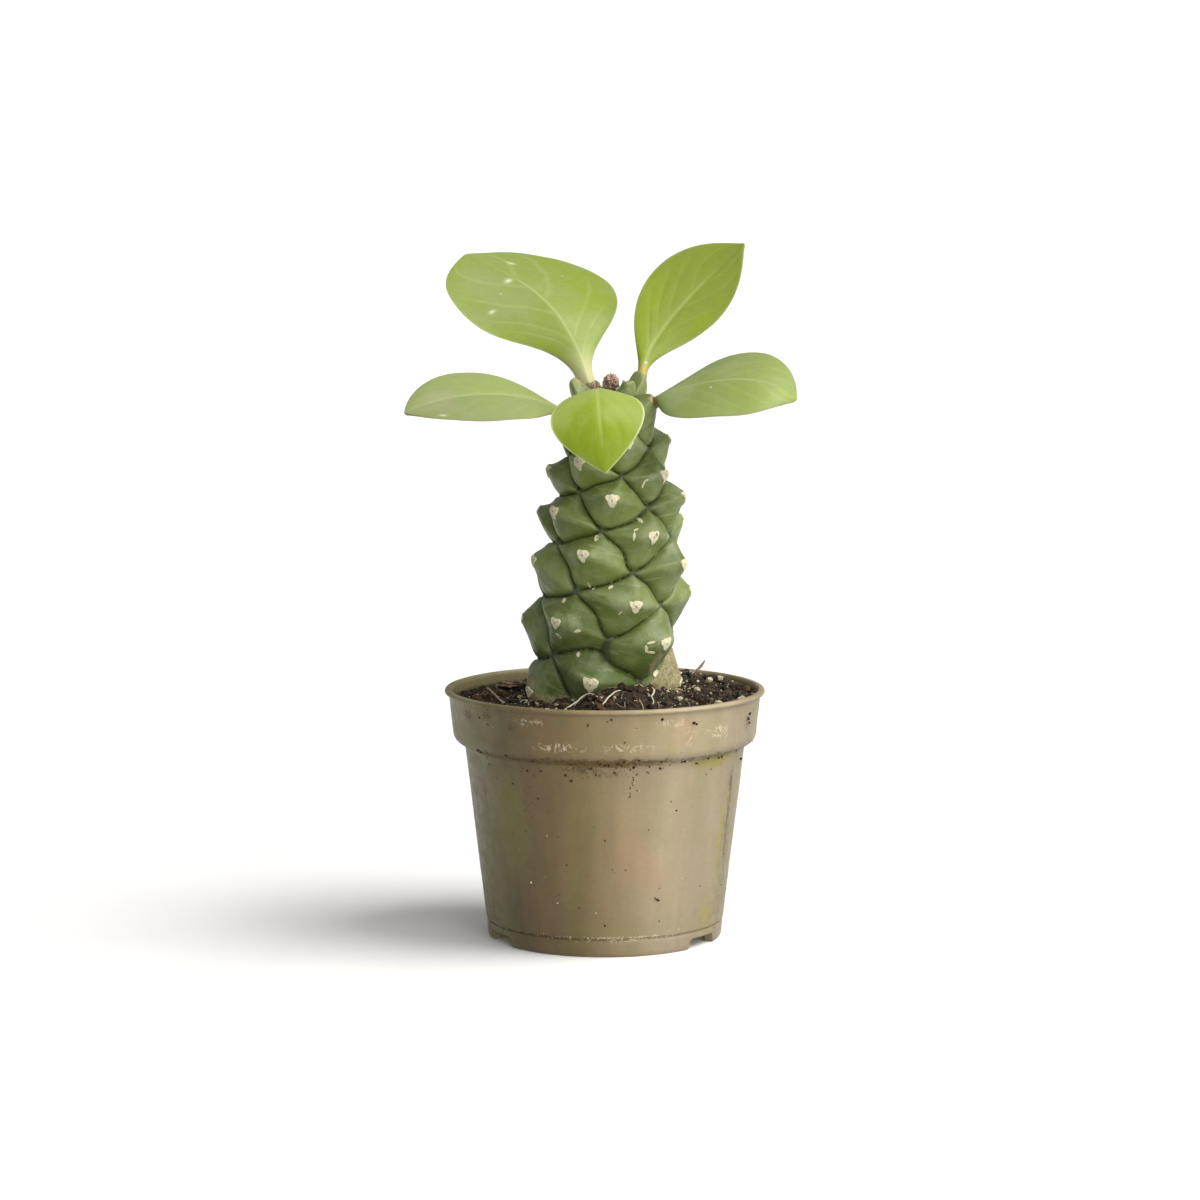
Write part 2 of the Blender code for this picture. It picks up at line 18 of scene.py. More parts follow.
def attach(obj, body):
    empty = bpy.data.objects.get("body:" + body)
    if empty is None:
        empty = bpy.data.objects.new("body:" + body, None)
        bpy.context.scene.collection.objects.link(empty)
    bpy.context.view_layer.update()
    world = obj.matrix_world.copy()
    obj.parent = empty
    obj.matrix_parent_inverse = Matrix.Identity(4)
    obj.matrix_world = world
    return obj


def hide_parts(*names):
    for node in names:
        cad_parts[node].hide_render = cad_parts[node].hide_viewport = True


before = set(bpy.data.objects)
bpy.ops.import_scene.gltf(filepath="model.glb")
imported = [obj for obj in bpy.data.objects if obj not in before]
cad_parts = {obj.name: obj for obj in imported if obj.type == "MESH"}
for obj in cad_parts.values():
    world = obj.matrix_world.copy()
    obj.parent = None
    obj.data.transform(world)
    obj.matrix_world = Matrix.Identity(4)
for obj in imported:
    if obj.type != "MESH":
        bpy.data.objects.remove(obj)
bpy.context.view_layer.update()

MM = 0.001

# ---------------------------------------------------------------- camera, lights and floor

CAMERA_PLACE = (-1.27, -900.0, 198.3)
CAMERA_PITCH = 6.887
CAMERA_LENS = 102.6
SENSOR_WIDTH = 36.0

# Each lamp: azimuth, height over the floor, softness in degrees, strength, colour.
LAMPS = {
    "key": (78.0, 54.0, 40.0, 3.1, (1.0, 0.985, 0.955)),
    "fill": (32.0, 11.0, 60.0, 2.5, (1.0, 0.99, 0.965)),
}
SKY_STRENGTH = 1.0
SKY_STOPS = ((0.0, (0.46, 0.455, 0.44)), (0.45, (0.46, 0.455, 0.44)), (0.55, (0.37, 0.37, 0.365)),
             (1.0, (0.37, 0.37, 0.37)))
FLOOR_HALF = 40000.0
FLOOR_DROP = 0.02
DOME_RADIUS = 60000.0


def make_camera():
    """The camera stands a little above the leaves and looks slightly down at the plant."""
    data = bpy.data.cameras.new("camera")
    data.lens = CAMERA_LENS
    data.sensor_width = SENSOR_WIDTH
    data.clip_end = 500.0
    camera = bpy.data.objects.new("camera", data)
    camera.location = [c * MM for c in CAMERA_PLACE]
    camera.rotation_euler = (math.radians(90.0 - CAMERA_PITCH), 0.0, 0.0)
    bpy.context.scene.collection.objects.link(camera)
    bpy.context.scene.camera = camera


def make_lights():
    """A soft key from the right and above, a low fill, and a dim sky, brighter below the horizon."""
    for name, (azimuth, height, softness, strength, colour) in LAMPS.items():
        data = bpy.data.lights.new(name, "SUN")
        data.energy = strength
        data.angle = math.radians(softness)
        data.color = colour
        lamp = bpy.data.objects.new(name, data)
        lamp.rotation_euler = (math.radians(90.0 - height), 0.0, math.radians(azimuth))
        bpy.context.scene.collection.objects.link(lamp)

    world = bpy.data.worlds.new("sky")
    world.use_nodes = True
    tree = world.node_tree
    where = tree.nodes.new("ShaderNodeTexCoord")
    split = tree.nodes.new("ShaderNodeSeparateXYZ")
    tree.links.new(where.outputs["Generated"], split.inputs[0])
    height = tree.nodes.new("ShaderNodeMapRange")
    height.inputs["From Min"].default_value = -1.0
    tree.links.new(split.outputs["Z"], height.inputs["Value"])
    ramp = tree.nodes.new("ShaderNodeValToRGB")
    set_stops(ramp, SKY_STOPS)
    tree.links.new(height.outputs["Result"], ramp.inputs["Fac"])
    background = tree.nodes["Background"]
    background.inputs["Strength"].default_value = SKY_STRENGTH
    tree.links.new(ramp.outputs["Color"], background.inputs["Color"])
    bpy.context.scene.world = world
    bpy.context.scene.view_settings.view_transform = "Standard"


def make_stage():
    """A pale floor, and far round it a plain white dome; the sky's lower half is their glow."""
    floor_mesh = bpy.data.meshes.new("floor")
    reach = FLOOR_HALF * MM
    signs = ((-1, -1), (1, -1), (1, 1), (-1, 1))
    corners = [(x * reach, y * reach, -FLOOR_DROP * MM) for x, y in signs]
    floor_mesh.from_pydata(corners, [], [(0, 1, 2, 3)])
    floor = bpy.data.objects.new("floor", floor_mesh)
    pale = bpy.data.materials.new("floor_paint")
    pale.use_nodes = True
    shader = pale.node_tree.nodes["Principled BSDF"]
    shader.inputs["Base Color"].default_value = (0.88, 0.88, 0.88, 1.0)
    shader.inputs["Roughness"].default_value = 0.9
    shader.inputs["Specular IOR Level"].default_value = 0.1
    floor_mesh.materials.append(pale)

    dome_mesh = bpy.data.meshes.new("dome")
    work = bmesh.new()
    bmesh.ops.create_icosphere(work, subdivisions=4, radius=DOME_RADIUS * MM)
    work.to_mesh(dome_mesh)
    work.free()
    dome = bpy.data.objects.new("dome", dome_mesh)
    white = bpy.data.materials.new("dome_white")
    white.use_nodes = True
    glow = white.node_tree.nodes["Principled BSDF"]
    glow.inputs["Base Color"].default_value = (0.0, 0.0, 0.0, 1.0)
    glow.inputs["Emission Color"].default_value = (1.0, 1.0, 1.0, 1.0)
    glow.inputs["Emission Strength"].default_value = 1.0
    dome_mesh.materials.append(white)
    dome.visible_shadow = False
    dome.visible_glossy = False
    for stand in (floor, dome):
        stand.visible_diffuse = False
        bpy.context.scene.collection.objects.link(stand)


# ---------------------------------------------------------------- material helpers

def set_stops(ramp, stops):
    """Give a colour ramp its stops."""
    elements = ramp.color_ramp.elements
    while len(elements) > 1:
        elements.remove(elements[-1])
    for index, (place, colour) in enumerate(stops):
        element = elements[0] if index == 0 else elements.new(place)
        element.position = place
        element.color = (*colour, 1.0)


class Paint:
    """One material, with short calls that add the nodes a surface needs."""

    def __init__(self, name, roughness=0.5, specular=0.5):
        self.material = bpy.data.materials.new(name)
        self.material.use_nodes = True
        self.tree = self.material.node_tree
        self.shader = self.tree.nodes["Principled BSDF"]
        self.shader.inputs["Roughness"].default_value = roughness
        self.shader.inputs["Specular IOR Level"].default_value = specular
        self.where = self.tree.nodes.new("ShaderNodeTexCoord").outputs["Object"]

    def put(self, socket, value):
        """Link a socket to another, or set it to a number or a colour."""
        if isinstance(value, bpy.types.NodeSocket):
            self.tree.links.new(value, socket)
        elif isinstance(value, tuple):
            socket.default_value = (*value, 1.0)
        else:
            socket.default_value = value

    def mark(self, name):
        """A number stored on the mesh's points."""
        node = self.tree.nodes.new("ShaderNodeAttribute")
        node.attribute_name = name
        return node.outputs["Fac"]

    def stretched(self, x, y, z):
        """Object coordinates with each axis scaled."""
        node = self.tree.nodes.new("ShaderNodeMapping")
        node.inputs["Scale"].default_value = (x, y, z)
        self.tree.links.new(self.where, node.inputs["Vector"])
        return node.outputs["Vector"]

    def joined(self, x, y, z):
        """A place for noise, made of three numbers."""
        node = self.tree.nodes.new("ShaderNodeCombineXYZ")
        for socket, value in zip(node.inputs, (x, y, z)):
            self.put(socket, value)
        return node.outputs["Vector"]

    def noise(self, size, detail=4.0, roughness=0.55, distortion=0.0, where=None):
        """Noise whose features are about this many millimetres wide."""
        node = self.tree.nodes.new("ShaderNodeTexNoise")
        node.inputs["Scale"].default_value = 1.0 / (size * MM)
        node.inputs["Detail"].default_value = detail
        node.inputs["Roughness"].default_value = roughness
        node.inputs["Distortion"].default_value = distortion
        self.tree.links.new(where or self.where, node.inputs["Vector"])
        return node.outputs["Fac"]

    def cells(self, size, output="Distance", jitter=1.0, feature="F1"):
        """Cells about this many millimetres wide."""
        node = self.tree.nodes.new("ShaderNodeTexVoronoi")
        node.feature = feature
        node.inputs["Scale"].default_value = 1.0 / (size * MM)
        node.inputs["Randomness"].default_value = jitter
        self.tree.links.new(self.where, node.inputs["Vector"])
        return node.outputs[output]

    def math(self, operation, first, second=None, clamp=False):
        """One arithmetic step."""
        node = self.tree.nodes.new("ShaderNodeMath")
        node.operation = operation
        node.use_clamp = clamp
        self.put(node.inputs[0], first)
        if second is not None:
            self.put(node.inputs[1], second)
        return node.outputs[0]

    def times(self, first, second):
        """Product of two values."""
        return self.math("MULTIPLY", first, second)

    def most(self, first, second):
        """The larger of two values."""
        return self.math("MAXIMUM", first, second)

    def swing(self, spread, size, detail=4.0, roughness=0.55, distortion=0.0):
        """Noise about 0, its whole range as wide as the spread."""
        centred = self.math("SUBTRACT", self.noise(size, detail, roughness, distortion), 0.5)
        return self.times(centred, spread)

    def step(self, value, low, high, to_low=0.0, to_high=1.0):
        """Eased step of a value between two limits."""
        node = self.tree.nodes.new("ShaderNodeMapRange")
        node.interpolation_type = "SMOOTHSTEP"
        self.put(node.inputs["Value"], value)
        node.inputs["From Min"].default_value = low
        node.inputs["From Max"].default_value = high
        node.inputs["To Min"].default_value = to_low
        node.inputs["To Max"].default_value = to_high
        return node.outputs["Result"]

    def ramp(self, value, *stops):
        """Colours along a value."""
        node = self.tree.nodes.new("ShaderNodeValToRGB")
        set_stops(node, stops)
        self.put(node.inputs["Fac"], value)
        return node.outputs["Color"]

    def mix(self, share, first, second, blend="MIX"):
        """Mix of two colours."""
        node = self.tree.nodes.new("ShaderNodeMix")
        node.data_type = "RGBA"
        node.blend_type = blend
        self.put(node.inputs[0], share)
        self.put(node.inputs[6], first)
        self.put(node.inputs[7], second)
        return node.outputs[2]

    def cover(self, colour, mask, share, over, blend="MIX"):
        """A colour with another over it, as far as a mask times a share says."""
        return self.mix(self.times(mask, share), colour, over, blend)

    def shade(self, colour, value, low, high):
        """A colour made darker or lighter along a value from 0 to 1."""
        grey = self.ramp(value, (0.0, (low, low, low)), (1.0, (high, high, high)))
        return self.mix(1.0, colour, grey, "MULTIPLY")

    def ragged(self, mark, size, spread=1.0, edge=0.12, level=0.5):
        """A stored mark whose edge is broken up by noise."""
        broken = self.math("ADD", self.mark(mark), self.swing(spread, size, 6.0, 0.65))
        return self.step(broken, level - edge, level + edge)

    def specks(self, size, radius, share):
        """Small dots: a share of the cells of this size hold one of this radius, in cell widths."""
        dot = self.step(self.cells(size), radius * 0.6, radius, 1.0, 0.0)
        node = self.tree.nodes.new("ShaderNodeSeparateColor")
        self.tree.links.new(self.cells(size, "Color"), node.inputs[0])
        chosen = self.step(node.outputs[0], 1.0 - share - 0.01, 1.0 - share)
        return self.times(dot, chosen)

    def bump(self, height, distance, strength=1.0, below=None):
        """Relief of this many millimetres."""
        node = self.tree.nodes.new("ShaderNodeBump")
        node.inputs["Distance"].default_value = distance * MM
        node.inputs["Strength"].default_value = strength
        self.put(node.inputs["Height"], height)
        if below is not None:
            self.tree.links.new(below, node.inputs["Normal"])
        return node.outputs["Normal"]

    def finish(self, colour, roughness=None, normal=None):
        """Link what was made to the shader."""
        self.put(self.shader.inputs["Base Color"], colour)
        if roughness is not None:
            self.put(self.shader.inputs["Roughness"], roughness)
        if normal is not None:
            self.tree.links.new(normal, self.shader.inputs["Normal"])
        return self.material


# ---------------------------------------------------------------- mesh helpers

def smooth(low, high, value):
    """Eased step from 0 at low to 1 at high."""
    t = np.clip((value - low) / (high - low), 0.0, 1.0)
    return t * t * (3.0 - 2.0 * t)


def hill(value, spread):
    """1 at 0, falling off smoothly to both sides over the spread."""
    return np.exp(-(value / spread) ** 2)


def turn_from(azimuth, middle):
    """Degrees from a middle azimuth, from -180 to 180."""
    return (azimuth - middle + 180.0) % 360.0 - 180.0


def unit(vectors):
    """Vectors of length 1."""
    return vectors / np.linalg.norm(vectors, axis=-1, keepdims=True)


def rough(points, size, seed=0.0):
    """Noise from -1 to 1 at each point, with features about this many millimetres wide."""
    shift = Vector((seed * 7.3, seed * 3.1, seed * 5.7))
    flat = np.asarray(points, float).reshape(-1, 3) / size
    values = [noise.noise(Vector(p) + shift) for p in flat.tolist()]
    return np.array(values).reshape(np.shape(points)[:-1])


def ring_faces(rows, turns, start=0):
    """Quads between closed rings, and fans to two poles that follow the last ring."""
    row, turn = np.meshgrid(np.arange(rows - 1), np.arange(turns), indexing="ij")
    a = row * turns + turn
    b = row * turns + (turn + 1) % turns
    faces = (np.stack([a, b, b + turns, a + turns], -1).reshape(-1, 4) + start).tolist()
    first_pole = start + rows * turns
    last = start + (rows - 1) * turns
    for turn in range(turns):
        after = (turn + 1) % turns
        faces.append([first_pole, start + after, start + turn])
        faces.append([first_pole + 1, last + turn, last + after])
    return faces


def add_piece(name, points, faces, finish, marks=None, stands_for=(), sharp=60.0):
    """A smooth piece that rides on the plant's one body, with numbers stored on its points."""
    mesh = bpy.data.meshes.new(name)
    mesh.from_pydata((np.asarray(points, float) * MM).tolist(), [], faces)
    work = bmesh.new()
    work.from_mesh(mesh)
    bmesh.ops.recalc_face_normals(work, faces=work.faces)
    work.to_mesh(mesh)
    work.free()
    mesh.shade_smooth()
    mesh.set_sharp_from_angle(angle=math.radians(sharp))
    for mark, values in (marks or {}).items():
        layer = mesh.attributes.new(mark, "FLOAT", "POINT")
        layer.data.foreach_set("value", np.asarray(values, np.float32).ravel())
    mesh.materials.append(finish)
    piece = bpy.data.objects.new(name, mesh)
    bpy.context.scene.collection.objects.link(piece)
    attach(piece, "root")
    if stands_for:
        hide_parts(*stands_for)
    return piece


def ball(rounds):
    """Points and faces of a round template."""
    work = bmesh.new()
    bmesh.ops.create_icosphere(work, subdivisions=rounds, radius=1.0)
    points = np.array([v.co for v in work.verts], float)
    faces = np.array([[v.index for v in f.verts] for f in work.faces])
    work.free()
    return points, faces


def lumps(name, places, finish, rounds=1, crumple=0.3, seed=1):
    """One piece of many small rough lumps; each place is a point, three half sizes and a tone."""
    template, template_faces = ball(rounds)
    draw = random.Random(seed)
    points, faces, tones = [], [], []
    for index, (place, size, tone) in enumerate(places):
        turn = np.array(Matrix.Rotation(draw.random() * 6.28, 3, "Z")
                        @ Matrix.Rotation(draw.uniform(-0.6, 0.6), 3, "X"))
        swell = np.array([1.0 + crumple * draw.uniform(-1.0, 1.0) for _ in template])
        lump = (template * swell[:, None] * np.array(size)) @ turn.T + np.array(place)
        points.append(lump)
        faces.append(template_faces + index * len(template))
        tones.append(np.full(len(template), tone))
    return add_piece(name, np.concatenate(points), np.concatenate(faces).tolist(), finish,
                     {"tone": np.concatenate(tones)}, sharp=50.0)


def curve_through(places, steps):
    """Points on a smooth curve through the places."""
    places = np.asarray(places, float)
    ends = np.vstack([2 * places[0] - places[1], places, 2 * places[-1] - places[-2]])
    route = []
    for index in range(len(places) - 1):
        a, b, c, d = ends[index:index + 4]
        for t in np.linspace(0.0, 1.0, steps, endpoint=False):
            route.append(0.5 * (2 * b + (c - a) * t + (2 * a - 5 * b + 4 * c - d) * t ** 2
                                + (3 * b - a - 3 * c + d) * t ** 3))
    route.append(places[-1])
    return np.array(route)


def tube(route, radii, sides):
    """Points of rings round a route, and of its two ends."""
    way = unit(np.gradient(route, axis=0))
    guide = np.array([0.0, 0.0, 1.0]) if abs(way[:, 2]).mean() < 0.8 else np.array([1.0, 0.0, 0.0])
    side = unit(np.cross(way, guide))
    other = np.cross(side, way)
    angle = np.linspace(0.0, 2.0 * math.pi, sides, endpoint=False)
    ring = side[:, None] * np.cos(angle)[:, None] + other[:, None] * np.sin(angle)[:, None]
    points = route[:, None] + ring * radii[:, None, None]
    ends = np.stack([route[0] - way[0] * radii[0] * 0.5, route[-1] + way[-1] * radii[-1] * 0.5])
    return np.concatenate([points.reshape(-1, 3), ends])


def fibres(name, routes, finish, sides=5, seed=2, stands_for=()):
    """One piece of many thin strands; each route is places, a radius, a tip share and a tone."""
    points, faces, tones = [], [], []
    start = 0
    for index, (places, radius, tip, tone) in enumerate(routes):
        route = curve_through(places, 6)
        share = np.linspace(0.0, 1.0, len(route))
        radii = radius * (1.0 + (tip - 1.0) * share) * (1.0 + 0.25 * rough(route, 1.3, seed + index))
        made = tube(route, radii, sides)
        points.append(made)
        faces += ring_faces(len(route), sides, start)
        tones.append(np.full(len(made), tone))
        start += len(made)
    return add_piece(name, np.concatenate(points), faces, finish,
                     {"tone": np.concatenate(tones)}, stands_for, 80.0)


# ---------------------------------------------------------------- pot

WALL = 0.9
LIP_RADIUS = 42.5
RIM_TOP = 66.3
BAND_TOP_RADIUS = 41.4
BAND_FOOT_RADIUS = 40.3
BAND_FOOT_Z = 54.7
BODY_TOP = (37.1, 50.6)
BODY_FOOT = (31.7, 5.1)
FOOT_RADIUS = 31.2
FOOT_INNER_RADIUS = 28.8
FLOOR_UNDER = 3.2
FLOOR_TOP = 4.2
NOTCH_AZIMUTHS = (-62.5, 55.5, 175.0)
NOTCH_WIDTH = 11.8
NOTCH_HEIGHT = 2.8
NOTCH_SQUARENESS = 20           # power of a notch's outline
DRAIN_RADIUS = 4.0
DRAIN_RING = 20.0
DRAIN_COUNT = 6
DRAIN_TURN = 13.0
POT_TURNS = 300
POT_STEP = 1.1                  # longest step along the pot's section
WARP = 0.12                     # how far the wall wavers from a true round
LIP_ROWS = 12                   # rows of points from the lip's edge to where the inside starts

DIRT_AND_SHADE_STRIP = (52.2, 1.7)        # height and half height of the dirt and painted shade under the band
TRICKLE_AZIMUTH = 66.0
TRICKLE_SPREAD = 3.0
# Stains on the pot, with dirt and painted shade under the band: azimuth, height, half width in degrees, half
# height, strength.
STAINS = {
    "algae": ((-43.5, 34.0, 9.0, 13.0, 1.5), (64.0, 25.0, 5.0, 19.0, 0.9), (56.0, 8.0, 8.0, 6.0, 1.0),
              (2.0, 58.0, 12.0, 3.0, 0.6), (10.0, 7.0, 24.0, 4.0, 0.6), (-14.0, 26.0, 5.0, 16.0, 0.6),
              (130.0, 40.0, 18.0, 12.0, 0.8), (-150.0, 20.0, 25.0, 12.0, 0.8)),
    "moss": ((50.0, 50.8, 17.0, 2.3, 1.1), (60.0, 30.0, 2.5, 18.0, 0.75), (55.0, 9.0, 6.0, 4.0, 0.7),
             (-100.0, 51.5, 20.0, 2.0, 0.9), (150.0, 50.0, 20.0, 2.5, 0.9)),
    "rust": ((-48.0, 62.8, 5.0, 2.6, 1.0), (-60.0, 62.0, 7.0, 3.0, 1.0), (-36.0, 60.8, 3.5, 2.4, 1.0),
             (-34.0, 40.0, 6.0, 10.0, 0.75), (0.0, 49.0, 20.0, 2.5, 0.85), (66.0, 60.0, 4.0, 4.0, 1.0),
             (160.0, 60.0, 14.0, 3.0, 0.9)),
    "blush": ((-20.0, 59.5, 9.0, 3.6, 1.0), (29.0, 60.0, 9.0, 4.5, 1.0), (-31.0, 42.0, 7.0, 9.0, 0.8),
              (-32.0, 13.0, 9.0, 9.0, 0.9), (18.0, 26.0, 12.0, 14.0, 0.5), (140.0, 30.0, 20.0, 12.0, 0.7)),
    "lime": ((-17.0, 56.2, 12.0, 1.3, 1.0), (8.0, 56.3, 12.0, 1.2, 1.0), (33.0, 58.0, 3.0, 3.0, 1.0),
             (46.0, 59.0, 6.0, 2.2, 1.0), (26.0, 62.4, 9.0, 1.5, 0.9), (-27.0, 62.4, 8.0, 1.3, 0.9),
             (8.0, 4.9, 33.0, 0.7, 1.1), (34.0, 6.3, 5.0, 1.0, 0.9), (120.0, 56.0, 30.0, 1.0, 0.95)),
    # Dirt under the band, darkened further by painted shade beneath the band's overhang.
    "dirt_and_shade": ((-9.0, 50.6, 10.0, 2.6, 0.9),),
}
# Colour of the plastic round the pot, from the back past the left, the front and the right, with painted
# shade making the left darker and painted light making the front-right lighter.
POT_TONES_WITH_PAINTED_LIGHT = (
    (0.0, (0.27, 0.22, 0.125)), (0.2, (0.22, 0.185, 0.09)), (0.34, (0.19, 0.165, 0.077)),
    (0.385, (0.125, 0.097, 0.044)), (0.42, (0.15, 0.107, 0.05)), (0.47, (0.20, 0.147, 0.065)),
    (0.53, (0.30, 0.23, 0.128)), (0.575, (0.365, 0.298, 0.19)), (0.65, (0.31, 0.25, 0.16)),
    (0.69, (0.245, 0.20, 0.12)), (0.75, (0.26, 0.21, 0.125)), (1.0, (0.27, 0.22, 0.125)),
)


def pot_profile():
    """Section of the pot, from the underside's centre round the lip to the floor's centre."""
    inner_band = BAND_TOP_RADIUS - WALL
    corners = [
        (0.01, FLOOR_UNDER), (FOOT_INNER_RADIUS, FLOOR_UNDER),
        (FOOT_INNER_RADIUS + 0.2, 0.2), (FOOT_INNER_RADIUS + 0.5, 0.0), (FOOT_RADIUS - 0.6, 0.0),
        (FOOT_RADIUS - 0.2, 0.15), (FOOT_RADIUS, 0.6),
        (FOOT_RADIUS + 0.28, 4.1), (FOOT_RADIUS + 0.18, 4.4), (FOOT_RADIUS - 0.1, 4.55),
        (FOOT_RADIUS - 0.1, 4.75), (BODY_FOOT[0] - 0.15, 4.95), BODY_FOOT, BODY_TOP,
        (37.6, 51.5), (38.2, 51.9), (38.8, 52.3), (39.3, 52.65), (39.7, 53.1), (40.05, 53.7),
        (BAND_FOOT_RADIUS, BAND_FOOT_Z), (BAND_TOP_RADIUS, RIM_TOP - 1.5),
        (BAND_TOP_RADIUS + 0.15, RIM_TOP - 1.32), (LIP_RADIUS - 0.3, RIM_TOP - 1.2),
        (LIP_RADIUS - 0.08, RIM_TOP - 1.0), (LIP_RADIUS, RIM_TOP - 0.7),
        (LIP_RADIUS - 0.08, RIM_TOP - 0.35), (LIP_RADIUS - 0.3, RIM_TOP - 0.12),
        (LIP_RADIUS - 0.7, RIM_TOP), (LIP_RADIUS - 1.4, RIM_TOP), (inner_band + 0.35, RIM_TOP - 0.2),
        (inner_band + 0.1, RIM_TOP - 0.6), (inner_band, RIM_TOP - 1.3),
        (BAND_FOOT_RADIUS - WALL, BAND_FOOT_Z), (38.6, 53.6), (37.2, 52.6),
        (BODY_TOP[0] - WALL, BODY_TOP[1]), (BODY_FOOT[0] - WALL, BODY_FOOT[1] + 0.1),
        (30.2, FLOOR_TOP + 0.1), (0.01, FLOOR_TOP),
    ]
    profile = []
    for (r0, z0), (r1, z1) in zip(corners, corners[1:]):
        count = max(1, math.ceil(math.hypot(r1 - r0, z1 - z0) / POT_STEP))
        profile += [(r0 + (r1 - r0) * i / count, z0 + (z1 - z0) * i / count) for i in range(count)]
    return np.array(profile + [corners[-1]])


def pot_azimuths():
    """Evenly spread azimuths, with a close pair at each side of each notch."""
    half = math.degrees(NOTCH_WIDTH / 2.0 / FOOT_RADIUS)
    even = np.linspace(-180.0, 180.0, POT_TURNS, endpoint=False)
    offsets = [side * half + nudge for side in (-1, 1) for nudge in (-0.12, 0.12)]
    edges = [turn_from(azimuth + offset, 0.0) for azimuth in NOTCH_AZIMUTHS for offset in offsets]
    kept = [a for a in even if min(abs(a - edge) for edge in edges) > 0.4]
    return np.sort(np.array(kept + edges)), half


def stain(azimuth, height, name):
    """How strongly a stain covers each point of the pot."""
    total = np.zeros_like(azimuth)
    for middle, level, wide, tall, strength in STAINS[name]:
        spot = hill(turn_from(azimuth, middle), wide) * hill(height - level, tall)
        total = np.maximum(total, strength * spot)
    return total


def pot_dirt_and_shade(azimuth, height):
    """A patchy strip of soil and painted shade under the band, and a trickle of soil down the right side."""
    turn = np.radians(azimuth)
    level, spread = DIRT_AND_SHADE_STRIP
    # Dirt and painted shade in a strip just below the band's overhang.
    strip = hill(height - level, spread) * smooth(BAND_FOOT_Z, BAND_FOOT_Z - 0.4, height)
    strip = strip * (0.95 + 0.22 * np.cos(3.0 * turn + 0.35) + 0.15 * np.cos(7.0 * turn))
    along = smooth(16.0, 26.0, height) * smooth(50.0, 46.0, height)
    slant = 0.06 * (height - 40.0)
    trickle = 0.95 * along * hill(azimuth - TRICKLE_AZIMUTH + slant, TRICKLE_SPREAD)
    return np.maximum(strip, trickle)


def pot_marks(azimuth, height, outside):
    """The numbers that the pot's finish reads at each point, and at the two poles."""
    stains = {name: stain(azimuth, height, name) for name in STAINS}
    stains["dirt_and_shade"] = np.maximum(stains["dirt_and_shade"], pot_dirt_and_shade(azimuth, height))
    marks = {name: np.append(values * outside, (0.0, 0.0)) for name, values in stains.items()}
    marks["inside"] = np.append(1.0 - outside, (0.0, 1.0))
    marks["height"] = np.append(np.clip(height / RIM_TOP, 0.0, 1.0), (0.0, 0.0))
    marks["round"] = np.append(azimuth / 360.0 + 0.5, (0.5, 0.5))
    return marks


def make_pot():
    """The moulded pot: a turned shell with a notched foot, drain holes, years of stains and painted light and
    shade.
    """
    profile = pot_profile()
    azimuths, half = pot_azimuths()
    turn = np.radians(azimuths)
    radius, height, _ = np.broadcast_arrays(profile[:, 0][:, None], profile[:, 1][:, None], turn)
    for middle in NOTCH_AZIMUTHS:
        away = np.abs(turn_from(azimuths, middle)) / half
        lift = NOTCH_HEIGHT * (1.0 - np.clip(away, 0.0, 1.0) ** NOTCH_SQUARENESS)
        in_foot = (radius > FOOT_INNER_RADIUS - 0.1) & (radius < FOOT_RADIUS + 1.0)
        cut_away = in_foot & (height < NOTCH_HEIGHT) & (away < 1.0)
        height = np.where(cut_away, np.maximum(height, lift), height)
    points = np.stack([radius * np.sin(turn), -radius * np.cos(turn), height], -1)
    rows, turns = points.shape[:2]
    warp = WARP * rough(points, 24.0, 1.0) * smooth(6.0, 20.0, height)
    points[..., 0] += warp * np.sin(turn)
    points[..., 1] -= warp * np.cos(turn)
    poles = [(0.0, 0.0, profile[0, 1]), (0.0, 0.0, profile[-1, 1])]
    flat = np.concatenate([points.reshape(-1, 3), poles])
    outside = np.ones(rows)
    outside[np.argmax(profile[:, 0] > LIP_RADIUS - 1.0) + LIP_ROWS:] = 0.0
    marks = pot_marks(np.tile(azimuths, rows), points[..., 2].ravel(), np.repeat(outside, turns))
    faces = ring_faces(rows, turns)
    pot = add_piece("nursery_pot", flat, faces, pot_plastic(), marks, ["pot"], 35.0)
    drill(pot)


def drill(pot):
    """Cut the drain holes through the pot's floor."""
    places = [(0.0, 0.0)]
    for index in range(DRAIN_COUNT):
        turn = math.radians(DRAIN_TURN + 360.0 * index / DRAIN_COUNT)
        places.append((DRAIN_RING * math.cos(turn), DRAIN_RING * math.sin(turn)))
    work = bmesh.new()
    for x, y in places:
        middle = Matrix.Translation((x * MM, y * MM, (FLOOR_UNDER + FLOOR_TOP) / 2.0 * MM))
        bmesh.ops.create_cone(work, cap_ends=True, segments=36, radius1=DRAIN_RADIUS * MM,
                              radius2=DRAIN_RADIUS * MM, depth=4.0 * MM, matrix=middle)
    mesh = bpy.data.meshes.new("drills")
    work.to_mesh(mesh)
    work.free()
    drills = bpy.data.objects.new("drills", mesh)
    bpy.context.scene.collection.objects.link(drills)
    cut = pot.modifiers.new("drain_holes", "BOOLEAN")
    cut.operation = "DIFFERENCE"
    cut.object = drills
    cut.solver = "EXACT"
    bpy.context.view_layer.update()
    shape = pot.evaluated_get(bpy.context.evaluated_depsgraph_get())
    made = bpy.data.meshes.new_from_object(shape)
    pot.modifiers.remove(cut)
    pot.data = made
    bpy.data.objects.remove(drills)


